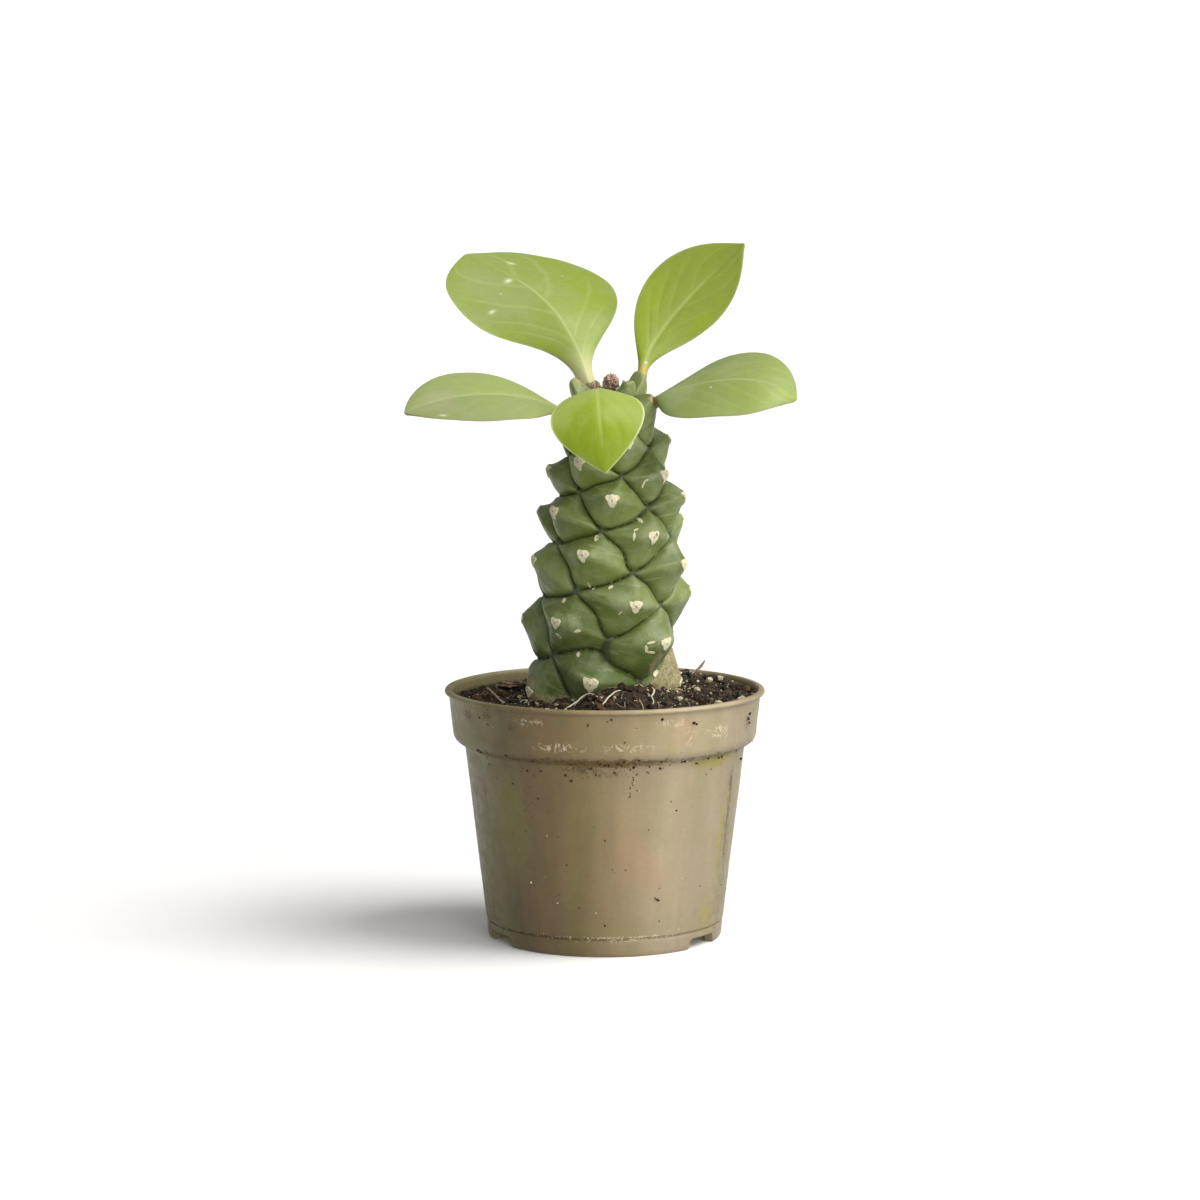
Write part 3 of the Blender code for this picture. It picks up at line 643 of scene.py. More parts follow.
def pot_plastic():
    """Taupe plastic, faded and stained by soil, algae and hard water, with painted light and shade."""
    p = Paint("pot_plastic", 0.5, 0.4)
    # Painted light and shade round the pot: the plastic is darker on the left and lighter at the front-right.
    turned = p.math("ADD", p.mark("round"), p.swing(0.05, 14.0))
    colour = p.ramp(turned, *POT_TONES_WITH_PAINTED_LIGHT)
    colour = p.shade(colour, p.noise(22.0, 3.0, 0.5), 0.88, 1.12)
    # Painted shade: the plastic darker towards the foot and lighter towards the rim.
    colour = p.shade(colour, p.mark("height"), 0.84, 1.10)
    faded = p.noise(13.0, 4.0, 0.55, 0.5, p.stretched(1.0, 1.0, 0.45))
    tint = p.ramp(faded, (0.32, (0.91, 0.98, 0.83)), (0.5, (1.0, 1.0, 1.0)),
                  (0.68, (1.05, 0.975, 0.98)))
    colour = p.mix(1.0, colour, tint, "MULTIPLY")
    streak = p.noise(5.0, 3.0, 0.5, where=p.stretched(1.0, 1.0, 0.07))
    colour = p.shade(colour, streak, 0.80, 1.2)
    colour = p.shade(colour, p.noise(1.1, 5.0, 0.6), 0.90, 1.1)
    colour = p.cover(colour, p.ragged("algae", 3.5, 0.9, 0.5), 0.4, (0.20, 0.195, 0.05))
    colour = p.cover(colour, p.ragged("moss", 1.4, 1.5, 0.2, 0.6), 0.75, (0.30, 0.25, 0.05))
    colour = p.cover(colour, p.ragged("blush", 4.0, 1.2, 0.5), 0.5, (1.12, 0.92, 0.95), "MULTIPLY")
    colour = p.cover(colour, p.ragged("rust", 0.6, 2.6, 0.08, 0.9), 0.85, (0.085, 0.033, 0.015))
    winding = p.math("ABSOLUTE", p.math("SUBTRACT", p.noise(3.2, 3.0, 0.65, 0.6), 0.5))
    lime = p.times(p.step(winding, 0.008, 0.045, 1.0, 0.0), p.ragged("lime", 1.4, 1.8, 0.3, 0.6))
    colour = p.cover(colour, lime, 0.8, (0.62, 0.52, 0.36))
    # Soil under the band, darkened further by painted shade beneath the band's overhang.
    dirt_and_shade = p.ragged("dirt_and_shade", 1.6, 2.2, 0.25, 0.85)
    earth_and_shade = p.ramp(p.noise(1.1, 5.0, 0.7), (0.35, (0.045, 0.027, 0.004)), (0.6, (0.15, 0.10, 0.02)))
    colour = p.cover(colour, dirt_and_shade, 0.8, earth_and_shade)
    colour = p.cover(colour, p.specks(2.9, 0.12, 0.16), 0.8, (0.07, 0.045, 0.025))
    colour = p.cover(colour, p.specks(1.7, 0.1, 0.06), 0.6, (0.5, 0.42, 0.28))
    # Painted shade: the inside wall is painted near black, as the shade in the pot's hollow.
    colour = p.cover(colour, p.mark("inside"), 0.8, (0.03, 0.033, 0.02))
    roughness = p.step(p.noise(2.5, 5.0), 0.25, 0.75, 0.36, 0.62)
    normal = p.bump(p.noise(0.7, 5.0, 0.6), 0.05)
    normal = p.bump(streak, 0.15, 0.5, normal)
    normal = p.bump(dirt_and_shade, 0.25, 0.8, normal)
    return p.finish(colour, roughness, normal)


# ---------------------------------------------------------------- stem

# Leaves were set one after another at the golden angle, so the tubercle numbered n (0 is the one
# with the scar at the front, counting down) stands at a fixed turn and height.
DIVERGENCE = 137.41
FIRST_AZIMUTH = -1.0
CELL_LEFT = (3 * -DIVERGENCE + 360.0, 3)        # step to the neighbour down and to the left
CELL_RIGHT = (5 * -DIVERGENCE + 720.0, 5)       # step to the neighbour down and to the right
APEX_NUMBER = -18.0
GROUND_NUMBER = 27.0
STEM_TURNS = 306
STEM_ROWS = 290
ROOT_END = 24.0
ROOT_ROWS = 12
ROOT_TIP_RADIUS = 2.5
GROOVE_DEPTH_YOUNG = 4.6
GROOVE_DEPTH_GROWN = 6.3
PLATEAU = 0.86                  # how far in a tubercle's slope reaches before its top is level
DROOP = 3.3                     # how far below its own number's height a tubercle's groove lies
# Where some tips stand off the even spiral: tubercle number, turn, drop in numbers.
TIP_SHIFTS = {13: (5.6, 0.32), 5: (0.0, 0.33), 16: (1.2, 0.28), 21: (-2.0, 0.29), -3: (1.0, 0.5),
              8: (-1.5, -0.25), 18: (0.0, -0.2), -5: (0.0, -0.2)}
STRETCHED_CREASE = 5.0          # azimuth of the upright crease between two low tubercles
CREASE_SPREAD = 19.0            # half width of that crease's reach, in degrees
CREASE_DROP = 2.2               # how many numbers it draws the grooves down
CREASE_NUMBERS = (16.9, 19.4, 21.3)     # numbers where it starts, is fully drawn and has ended
OUTLINE_AT_TIP = 2.4            # power of a tubercle's outline near its tip: round
OUTLINE_AT_GROOVE = 12.0        # power of its outline at the groove: square
OUTLINE_BELOW = 4.5             # power of its outline at the lower corner
FLANK_SHARE = 0.26              # share of a tubercle's height in the steep flank by the groove
FLANK_REACH = 0.06
SLOPE_SHARE = 0.72              # share of its height in the slope up to the tip
SLOPE_POWER = 1.2
TOP_WIDENING = 0.28             # how much wider the flat tops of the leafy tubercles are
GROOVE_SHADE_REACH = 0.028      # how far from the groove its dark colour reaches
FIRST_SCAR = -9
LAST_SCAR = 25
WIDE_SCAR = 21                  # the tubercle whose scar is larger than the rest
CROWN_SCARS = -6                # scars with this number and below are smaller
BUD_HEIGHT = 145.9
FOOT_HEIGHT = 65.0              # where the stem meets the soil
FOOT_NUMBER = 23.5
# Corky skin: tubercle number, place in its cell as a turn and a number, half sizes, strength.
CORK_PATCHES = (
    (23, 0.0, 0.0, 40.0, 9.0, 1.1), (24, -4.0, 0.6, 9.0, 2.0, 1.0), (18, -3.0, 1.8, 7.0, 1.6, 0.75),
    (21, 8.0, 2.4, 12.0, 1.0, 0.7), (16, -6.0, -2.0, 3.0, 0.6, 0.5), (26, 0.0, 0.0, 40.0, 9.0, 0.8),
    (20, 3.0, 1.0, 9.0, 2.0, 0.8), (-15, 0.0, 0.0, 12.0, 1.6, 1.0),
    (-14, 0.0, 0.0, 11.0, 1.4, 0.8), (-12, 0.0, 0.0, 11.0, 1.4, 0.7), (-11, -5.0, -0.6, 8.0, 1.2, 0.8),
)


def station(number):
    """Height along the stem's axis of the tubercle with this number."""
    return 122.5 - 1.668 * number - 0.0122 * number ** 2 - 0.00058 * number ** 3


def axis_point(height):
    """A point on the stem's leaning axis."""
    t = (np.asarray(height, float) - 66.0) / 80.0
    x = -1.7 + 9.6 * t - 3.5 * t ** 2 - 3.4 * t ** 3
    y = 8.0 - 27.6 * t + 8.2 * t ** 2
    return np.stack([x, y, np.asarray(height, float)], -1)


def axis_frame(height):
    """Sideways, backward and upward directions of the stem at a height."""
    up = unit(axis_point(height + 0.5) - axis_point(height - 0.5))
    side = np.zeros_like(up)
    side[..., 0] = 1.0
    side = unit(side - up * up[..., :1])
    return side, np.cross(up, side), up


def tip_radius(number):
    """Distance of a tubercle's tip from the axis."""
    return 18.5 + 0.417 * number - 0.0111 * number ** 2


def cell_place(turn, number):
    """A turn and a number as steps along the two rows in which the tubercles stand."""
    (left_turn, left_drop), (right_turn, right_drop) = CELL_LEFT, CELL_RIGHT
    area = left_turn * right_drop - right_turn * left_drop
    left = (turn * right_drop - right_turn * number) / area
    right = (left_turn * number - turn * left_drop) / area
    return left, right


def nearest_tubercle(azimuth, number):
    """Place in the nearest tubercle's cell, the tubercle's number, and the turn from its middle."""
    turn = azimuth - FIRST_AZIMUTH
    a, b = cell_place(turn, number)
    nearest = np.round(a) * CELL_LEFT[1] + np.round(b) * CELL_RIGHT[1]
    off_turn = turn - np.round(a) * CELL_LEFT[0] - np.round(b) * CELL_RIGHT[0]
    return a - np.round(a), b - np.round(b), nearest, off_turn


def about_tip(place, tip):
    """Place along one side of a cell, from 0 at a tip that stands off the cell's middle."""
    return (place - tip) / (1.0 - 2.0 * tip * np.sign(place - tip))


def tip_place(number):
    """Turn and leaf number of a tubercle's tip."""
    turn, drop = TIP_SHIFTS.get(int(number), (0.0, 0.0))
    return FIRST_AZIMUTH - DIVERGENCE * number + turn, number + drop


def bent_grid(azimuth, number):
    """A place moved a little, so that the grooves wander and one of them stands upright."""
    a, b, _, _ = nearest_tubercle(azimuth, number)
    loose = smooth(0.25, 1.0, 2.0 * np.maximum(np.abs(a), np.abs(b)))
    turn = np.radians(azimuth)
    sway = 2.0 * np.sin(3.0 * turn + 0.8 * number) + 1.3 * np.sin(5.0 * turn - 1.3 * number)
    wander = 0.22 * np.sin(4.0 * turn + 1.1 * number) + 0.15 * np.sin(2.0 * turn - 0.9 * number)
    azimuth = azimuth + loose * sway
    number = number + loose * wander
    start, full, end = CREASE_NUMBERS
    drawn = np.clip((number - start) / (full - start), 0.0, 1.0)
    stretch = CREASE_DROP * drawn * (1.0 - smooth(full, end, number))
    return azimuth, number - stretch * hill(turn_from(azimuth, STRETCHED_CREASE), CREASE_SPREAD)


def inward_share(azimuth, number):
    """Share of the way from the groove, 0, to the tip, 1, and a bridge where grooves cross."""
    a, b, nearest, _ = nearest_tubercle(*bent_grid(azimuth, number))
    for owner, shift in TIP_SHIFTS.items():
        tip_a, tip_b = cell_place(*shift)
        owned = nearest == owner
        a = np.where(owned, about_tip(a, tip_a), a)
        b = np.where(owned, about_tip(b, tip_b), b)
    far = 2.0 * np.maximum(np.abs(a), np.abs(b))
    power = OUTLINE_AT_TIP + (OUTLINE_AT_GROOVE - OUTLINE_AT_TIP) * smooth(0.2, 0.98, far)
    power = power + (np.minimum(power, OUTLINE_BELOW) - power) * smooth(0.3, 0.9, a + b)
    inward = 1.0 - ((2.0 * np.abs(a)) ** power + (2.0 * np.abs(b)) ** power) ** (1.0 / power)
    crossing = np.exp(-((0.5 - np.abs(a)) ** 2 + (0.5 - np.abs(b)) ** 2) / 0.007)
    return inward, 0.07 * crossing


def tubercle(azimuth, number):
    """How far the surface stands out of its groove, from 0 to 1, at a turn and leaf number."""
    inward, bridge = inward_share(azimuth, number)
    inward = np.clip(inward, 0.0, 1.0) + bridge
    above = -np.asarray(number)
    plateau = PLATEAU - TOP_WIDENING * smooth(9.0, 13.0, above) * (1.0 - smooth(15.0, 16.5, above))
    level = np.minimum(inward / plateau, 1.2)
    level = level - 0.25 * np.maximum(0.0, level - 0.8) ** 2 / 0.2
    level = np.minimum(level, 1.0)
    return FLANK_SHARE * (1.0 - np.exp(-level / FLANK_REACH)) + SLOPE_SHARE * level ** SLOPE_POWER


def groove_height(number):
    """Height of the groove round a tubercle, below the height of the tubercle's own number."""
    height = station(number) - 0.08 * np.maximum(0.0, -8.0 - number) ** 2
    return height - DROOP * smooth(-17.0, -9.0, number) * (1.0 - 0.45 * smooth(12.0, 20.0, number))


def stem_point(azimuth, number):
    """Points on the stem's surface."""
    azimuth, number = np.broadcast_arrays(np.asarray(azimuth, float), np.asarray(number, float))
    core = groove_height(number)
    young = smooth(-18.5, -14.5, number)
    rise = (station(number) - core + 3.0 * smooth(6.0, 11.0, -number)) * young
    grown = smooth(-12.0, 2.0, number)
    swell = GROOVE_DEPTH_YOUNG + (GROOVE_DEPTH_GROWN - GROOVE_DEPTH_YOUNG) * grown
    depth = swell * young * (1.0 - smooth(25.0, 27.0, number))
    groove = tip_radius(number) - swell
    out = tubercle(azimuth, number)
    side, back, up = axis_frame(core)
    turn = np.radians(azimuth)[..., None]
    radial = side * np.sin(turn) - back * np.cos(turn)
    return axis_point(core) + radial * (groove + depth * out)[..., None] + up * (rise * out)[..., None]


def tubercle_tip(number):
    """The middle of a tubercle's top, where its leaf joins."""
    return stem_point(*tip_place(number))


def stem_normal(azimuth, number):
    """Outward direction of the stem's surface."""
    round_way = stem_point(azimuth + 0.5, number) - stem_point(azimuth - 0.5, number)
    down_way = stem_point(azimuth, number + 0.1) - stem_point(azimuth, number - 0.1)
    return unit(np.cross(down_way, round_way))


def tubercle_tone(number):
    """A steady random number for each tubercle."""
    return np.modf(np.abs(np.sin(np.asarray(number) * 12.9898 + 4.1) * 43758.5453))[0]


def make_stem():
    """The tubercled stem from its growing tip to the end of the taproot, as one closed surface."""
    number = np.linspace(APEX_NUMBER, GROUND_NUMBER, STEM_ROWS)[:, None]
    azimuth = np.linspace(-180.0, 180.0, STEM_TURNS, endpoint=False)[None, :]
    azimuth, number = np.broadcast_arrays(azimuth, number)
    points = stem_point(azimuth, number)
    radial = unit((points - axis_point(points[..., 2])) * (1.0, 1.0, 0.0))
    wrinkle = 0.22 * rough(points, 5.0, 2.0) + 0.05 * rough(points, 1.2, 3.0)
    points = points + radial * wrinkle[..., None]
    off_a, off_b, nearest, off_turn = nearest_tubercle(azimuth, number)
    inward, _ = inward_share(azimuth, number)
    marks = {
        "groove": np.exp(-np.maximum(inward, 0.0) / GROOVE_SHADE_REACH),
        "sideways": off_a - off_b,
        "downward": off_a + off_b,
        "tip": np.clip(inward, 0.0, 1.0),
        "above": np.clip(0.5 + (nearest - number) / 8.0, 0.0, 1.0),
        "age": (number - APEX_NUMBER) / (GROUND_NUMBER - APEX_NUMBER),
        "tone": tubercle_tone(nearest),
        "cork": stem_cork(points, nearest, off_turn, number),
    }
    ground = station(GROUND_NUMBER)
    neck = tip_radius(GROUND_NUMBER) - GROOVE_DEPTH_GROWN
    t = (np.arange(ROOT_ROWS) + 1.0)[:, None] / ROOT_ROWS
    heights = ground + (ROOT_END - ground) * t
    radii = neck + (ROOT_TIP_RADIUS - neck) * t ** 0.8
    side, back, _ = axis_frame(heights)
    turn = np.radians(azimuth[:1])[..., None]
    root = axis_point(heights) + (side * np.sin(turn) - back * np.cos(turn)) * radii[..., None]
    root_marks = dict.fromkeys(marks, 0.0)
    root_marks.update(above=0.5, age=1.0, tone=0.5, cork=1.0)
    poles = np.stack([axis_point(groove_height(APEX_NUMBER) + 0.6), axis_point(ROOT_END - 1.5)])
    flat = np.concatenate([points.reshape(-1, 3), root.reshape(-1, 3), poles])
    extra = len(flat) - points.size // 3
    stored = {name: np.append(values.ravel(), np.full(extra, root_marks[name]))
              for name, values in marks.items()}
    faces = ring_faces(STEM_ROWS + ROOT_ROWS, STEM_TURNS)
    add_piece("stem_body", flat, faces, stem_skin(), stored, ["stem"], 80.0)


def stem_cork(points, nearest, off_turn, number):
    """Where old skin has turned to cork: at the soil, on low tubercles and under the leaves."""
    cork = 0.62 * (1.0 - smooth(64.0, 68.0, points[..., 2]))
    for owner, turn, drop, wide, tall, strength in CORK_PATCHES:
        away = ((off_turn - turn) / wide) ** 2 + ((number - nearest - drop) / tall) ** 2
        cork = np.maximum(cork, np.where(nearest == owner, strength * np.exp(-away), 0.0))
    return cork


def stem_skin():
    """Dark green waxy skin, paler on the young tubercles, with corky patches, painted shade in the grooves,
    and painted light below and shade above each tubercle's tip.
    """
    p = Paint("stem_skin", 0.5, 0.4)
    colour = p.ramp(p.noise(9.0, 4.0, 0.6, 0.3), (0.3, (0.10, 0.14, 0.024)), (0.5, (0.145, 0.19, 0.041)),
                    (0.72, (0.205, 0.245, 0.08)))
    age = p.mark("age")
    colour = p.mix(p.step(age, 0.36, 0.1, 0.0, 0.45), colour, (0.18, 0.205, 0.075))
    colour = p.shade(colour, p.mark("tone"), 0.84, 1.18)
    # Painted light and shade: each tubercle lightened below its tip and darkened above it.
    colour = p.shade(colour, p.mark("above"), 1.22, 0.78)
    colour = p.mix(p.step(age, 0.66, 0.86, 0.0, 0.62), colour, (0.05, 0.09, 0.010))
    streaks = p.noise(1000.0, 4.0, 0.6, 0.4, p.joined(p.times(p.mark("sideways"), 1.3),
                                                     p.times(p.mark("downward"), 5.0),
                                                     p.times(p.mark("tone"), 40.0)))
    waxy = p.step(p.mark("tip"), 0.1, 0.9, 0.35, 1.0)
    bloom = p.times(p.step(p.noise(6.5, 5.0, 0.6, 0.6), 0.4, 0.68), waxy)
    bloom = p.most(bloom, p.times(p.step(streaks, 0.5, 0.72), 0.8))
    colour = p.cover(colour, bloom, 0.62, (0.33, 0.36, 0.205))
    colour = p.shade(colour, p.noise(1.4, 6.0, 0.65), 0.84, 1.16)
    # Painted shade in the grooves: the skin near each groove darkened to near black green.
    groove = p.mark("groove")
    colour = p.cover(colour, groove, 0.85, (0.022, 0.034, 0.006))
    pale = p.specks(1.6, 0.13, 0.05)
    colour = p.cover(colour, pale, 0.7, (0.5, 0.5, 0.3))
    cork = p.ragged("cork", 2.2, 0.9, 0.14)
    bark = p.ramp(p.noise(1.2, 6.0, 0.7), (0.3, (0.16, 0.115, 0.05)), (0.5, (0.34, 0.29, 0.15)),
                  (0.72, (0.50, 0.45, 0.28)))
    colour = p.cover(colour, cork, 0.9, bark)
    roughness = p.math("ADD", p.step(p.noise(3.0, 5.0), 0.25, 0.75, 0.36, 0.56),
                       p.times(cork, 0.35))
    normal = p.bump(p.noise(0.55, 5.0, 0.6), 0.04)
    normal = p.bump(p.noise(2.4, 4.0, 0.5), 0.22, 0.5, normal)
    normal = p.bump(p.times(cork, p.noise(0.8, 6.0, 0.7)), 0.5, 0.9, normal)
    return p.finish(colour, roughness, normal)


# ---------------------------------------------------------------- leaf scars and marks on the stem

SCAR_WIDTH = 4.1
SCAR_HEIGHT = 3.4
SCAR_RINGS = 9
SCAR_TURNS = 40
SCAR_RELIEF = 0.28


def rounded_triangle(angle, corner):
    """Edge distance of a triangle with a level top, its corners rounded off."""
    turned = np.mod(angle - math.radians(90.0) + math.pi / 3.0, 2.0 * math.pi / 3.0) - math.pi / 3.0
    straight = 1.0 / np.cos(turned)
    return (straight ** -6 + corner ** -6) ** (-1.0 / 6.0)


def patch_on_stem(azimuth, number, outline, relief, seed):
    """Points of a thin closed patch on the stem, their shares of its radius, and their places."""
    radius = float(tip_radius(number))
    per_number = abs(float(station(number + 0.5) - station(number - 0.5)))
    angle = np.linspace(0.0, 2.0 * math.pi, SCAR_TURNS, endpoint=False)
    share = np.append(np.linspace(0.0, 1.0, SCAR_RINGS + 1)[1:], (1.03, 0.9))[:, None]
    uneven = 1.0 + 0.07 * np.sin(angle * 5.0 + seed) + 0.05 * np.sin(angle * 9.0 + seed * 2.3)
    reach = outline(angle) * uneven
    across = share * reach * np.cos(angle)
    upward = share * reach * np.sin(angle)
    turns = azimuth + np.degrees(across / radius)
    numbers = number - upward / per_number
    surface = stem_point(turns, numbers)
    facing = stem_normal(turns, numbers)
    rim = hill(share - 0.86, 0.12)
    lift = relief * (0.45 + 0.55 * rim) + 0.05 * rough(surface, 0.7, seed)
    lift[-2:] = np.array([[-0.1], [-0.5]])
    points = surface + facing * lift[..., None]
    middle = np.array([azimuth]), np.array([number])
    top = stem_point(*middle) + stem_normal(*middle) * relief * 0.45
    under = stem_point(*middle) - stem_normal(*middle) * 0.6
    stored = np.broadcast_to(share, across.shape)
    flat = np.concatenate([points.reshape(-1, 3), top, under])
    places = np.stack([across, upward], -1).reshape(-1, 2)
    return flat, np.append(stored.ravel(), (0.0, 1.0)), np.concatenate([places, np.zeros((2, 2))])


# Marks beside the scars: azimuth, leaf number, half width, half height, turn in degrees.
SKIN_MARKS = (
    (27.5, 2.6, 0.62, 0.9, 0.0), (-15.0, 5.0, 0.7, 0.95, 10.0), (-40.0, 13.6, 0.75, 0.8, 0.0),
    (-22.5, 19.0, 0.6, 0.7, 20.0), (0.0, 11.0, 0.85, 0.4, 30.0), (17.5, 4.9, 0.35, 1.1, -8.0),
    (20.0, 4.0, 0.8, 0.25, 15.0), (32.5, -2.2, 0.3, 0.8, -20.0), (34.5, -2.6, 0.6, 0.22, 0.0),
    (-19.0, 11.0, 0.35, 0.6, 30.0), (-15.0, 11.3, 0.4, 0.5, -35.0), (-37.5, 17.6, 0.9, 0.45, -35.0),
    (-22.5, 16.5, 0.95, 0.38, 20.0), (34.0, 17.4, 1.2, 0.3, 5.0), (31.0, 18.0, 0.4, 1.0, 15.0),
    (35.0, 18.4, 1.3, 0.28, -12.0), (52.0, 21.0, 1.3, 0.5, 25.0), (8.0, 14.0, 0.5, 0.22, 40.0),
    (160.0, 3.0, 0.9, 0.3, 20.0), (-150.0, 12.0, 0.4, 0.9, 0.0), (120.0, 15.0, 1.0, 0.35, -20.0),
    (-120.0, 7.0, 0.7, 0.3, 35.0), (95.0, 9.0, 0.35, 0.8, 10.0),
)


def scar_outline(size):
    """Edge distance of a leaf scar round its middle."""
    def edge(angle):
        shape = rounded_triangle(angle, 1.55) * size
        return shape * np.hypot(np.cos(angle) * SCAR_WIDTH / 3.0, np.sin(angle) * SCAR_HEIGHT / 2.75)
    return edge


def wound_outline(wide, tall, turned):
    """Edge distance of a small oval wound round its middle."""
    def edge(angle):
        along = angle - math.radians(turned)
        return 1.0 / np.hypot(np.cos(along) / wide, np.sin(along) / tall)
    return edge


def make_scars():
    """The scar that each fallen leaf left on its tubercle, and small healed wounds."""
    patches, tones = [], []
    draw = random.Random(11)
    for number in range(FIRST_SCAR, LAST_SCAR + 1):
        size = draw.uniform(0.9, 1.08)
        if number == WIDE_SCAR:
            size *= 1.35
        if number <= CROWN_SCARS:
            size *= 0.8
        patches.append(patch_on_stem(*tip_place(number), scar_outline(size), SCAR_RELIEF, number))
        tones.append(draw.uniform(0.0, 0.6))
    for index, (azimuth, number, *shape) in enumerate(SKIN_MARKS):
        patches.append(patch_on_stem(azimuth, number, wound_outline(*shape), 0.12, 40 + index))
        tones.append(1.0)
    points, edges, places = (np.concatenate(parts) for parts in zip(*patches))
    size = len(points) // len(patches)
    faces = []
    for index in range(len(patches)):
        faces += ring_faces(SCAR_RINGS + 2, SCAR_TURNS, index * size)
    marks = {"edge": edges, "across": places[:, 0], "upward": places[:, 1],
             "tone": np.repeat(tones, size)}
    add_piece("leaf_scars", points, faces, scar_cork(), marks)


def scar_cork():
    """Pale cork with the three dark ends of the leaf's veins and a brownish rim."""
    p = Paint("scar_cork", 0.8, 0.3)
    colour = p.ramp(p.noise(0.9, 6.0, 0.7), (0.3, (0.52, 0.47, 0.28)), (0.5, (0.70, 0.67, 0.45)),
                    (0.7, (0.82, 0.80, 0.60)))
    tone = p.mark("tone")
    across = p.math("ABSOLUTE", p.mark("across"))
    upward = p.mark("upward")
    spots = None
    for side, height, part in ((0.0, -0.1, 1.0), (0.7, 0.35, 0.35)):
        away = p.math("ADD", p.math("POWER", p.math("SUBTRACT", across, side), 2.0),
                      p.math("POWER", p.math("SUBTRACT", upward, height), 2.0))
        ragged = p.math("ADD", p.math("SQRT", away), p.times(p.noise(0.5), 0.5))
        spot = p.step(ragged, 0.42, 0.62, part, 0.0)
        spots = spot if spots is None else p.most(spots, spot)
    spots = p.times(spots, p.step(tone, 0.1, 0.9, 0.75, 0.0))
    colour = p.mix(spots, colour, (0.16, 0.10, 0.05))
    rim = p.times(p.step(p.mark("edge"), 0.9, 1.02), p.step(p.noise(1.0, 5.0), 0.4, 0.6, 0.0, 0.6))
    colour = p.mix(rim, colour, (0.28, 0.24, 0.11))
    worn = p.times(p.step(p.noise(2.2, 4.0), 0.56, 0.68), p.step(tone, 0.25, 0.6, 0.0, 0.35))
    colour = p.mix(worn, colour, (0.30, 0.22, 0.12))
    return p.finish(colour, 0.8, p.bump(p.noise(0.4, 5.0, 0.7), 0.12))


# ---------------------------------------------------------------- leaves

LEAF_ROWS = 150
LEAF_TURNS = 168
PETIOLE_SHARE = 0.06
LEAF_THICKNESS = 1.7
LEAF_EDGE = 0.6
# Each leaf: the tubercle that bears it, the midrib's other three control points, the way its
# upper face looks at the base and at the tip, half widths, how soon and how sharply the blade
# widens, the same for how it closes, how far its halves fold up, and its petiole's radius.
LEAVES = {
    "upper_left": (-12, ((-9.5, -2.0, 162.3), (-11.5, 10.5, 169.4), (-37.7, 24.0, 180.1)),
                   (0.17, -0.94, 0.3), (0.28, -0.44, 0.85), 18.2, 24.8, 0.43, 2.0, 0.04, 0.66, -10.5, 2.4),
    "upper_right": (-14, ((10.8, 0.3, 158.0), (20.0, 8.0, 167.3), (37.0, 10.4, 183.35)),
                    (0.2, -0.86, 0.5), (-0.05, -0.8, 0.55), 11.1, 8.8, 0.4, 1.87, 0.13, 1.18, 3.8, 1.35),
    "lower_left": (-10, ((-19.0, -20.5, 145.3), (-34.6, -28.6, 147.5), (-50.6, -36.0, 141.3)),
                   (0.48, -0.24, 0.84), (-0.11, -0.45, 0.89), 16.1, 10.5, 0.43, 1.32, 0.2, 0.93, 7.0, 1.3),
    "lower_right": (-11, ((17.7, -18.1, 146.6), (39.5, -27.5, 153.8), (48.8, -27.0, 144.1)),
                    (-0.65, -0.1, 0.76), (0.32, -0.65, 0.69), 15.8, 12.3, 0.17, 1.1, 0.21, 0.94, -7.8, 1.45),
    "front": (-13, ((-2.0, -26.8, 150.6), (-2.0, -42.8, 142.5), (0.2, -42.2, 126.7)),
              (-0.02, 0.43, 0.9), (-0.1, -0.99, 0.07), 10.2, 11.3, 0.36, 1.85, 0.19, 1.15, -4.4, 1.3),
}
# Colours of each leaf: blade, bright patches, grey bloom, veins, foot of the petiole, margin.
LEAF_COLOURS = {
    "upper_left": ((0.212, 0.272, 0.054), (0.205, 0.272, 0.021), (0.245, 0.295, 0.11), (0.33, 0.40, 0.15),
                   (0.58, 0.57, 0.30), (0.30, 0.35, 0.14)),
    "upper_right": ((0.20, 0.255, 0.03), (0.21, 0.28, 0.014), (0.235, 0.275, 0.05), (0.33, 0.39, 0.11),
                    (0.42, 0.33, 0.08), (0.26, 0.28, 0.10)),
    "lower_left": ((0.235, 0.285, 0.10), (0.23, 0.29, 0.07), (0.30, 0.31, 0.16), (0.33, 0.38, 0.16),
                   (0.34, 0.32, 0.12), (0.26, 0.20, 0.12)),
    "lower_right": ((0.235, 0.30, 0.08), (0.235, 0.31, 0.04), (0.29, 0.35, 0.16), (0.34, 0.40, 0.17),
                    (0.20, 0.14, 0.03), (0.26, 0.22, 0.12)),
    "front": ((0.285, 0.355, 0.068), (0.225, 0.31, 0.010), (0.36, 0.385, 0.18), (0.36, 0.46, 0.12),
              (0.36, 0.36, 0.12), (0.52, 0.60, 0.27)),
}
# How far up each leaf its foot's colour reaches.
FOOT_REACH = {"upper_left": 0.28, "upper_right": 0.16, "lower_left": 0.2, "lower_right": 0.11, "front": 0.2}
# Where the side veins leave the midrib, as shares of the blade, on the left and the right half,
# and how much they show.
VEINS = {
    "upper_left": ((0.03, 0.2, 0.45, 0.7), (0.0, 0.23, 0.57, 0.78), 0.38),
    "upper_right": ((0.1, 0.28, 0.45, 0.66), (0.05, 0.3, 0.55, 0.75), 0.2),
    "lower_left": ((0.08, 0.3, 0.52, 0.74), (0.05, 0.26, 0.5, 0.7), 0.2),
    "lower_right": ((0.1, 0.32, 0.5, 0.7), (0.06, 0.25, 0.48, 0.72), 0.25),
    "front": ((0.1, 0.33, 0.55, 0.78), (0.08, 0.28, 0.5, 0.72), 0.12),
}
VEIN_LAG = 0.75                 # how far towards the tip a side vein slants on its way out
VEIN_WIDTH = 0.55
RIB_WIDTH = 0.9
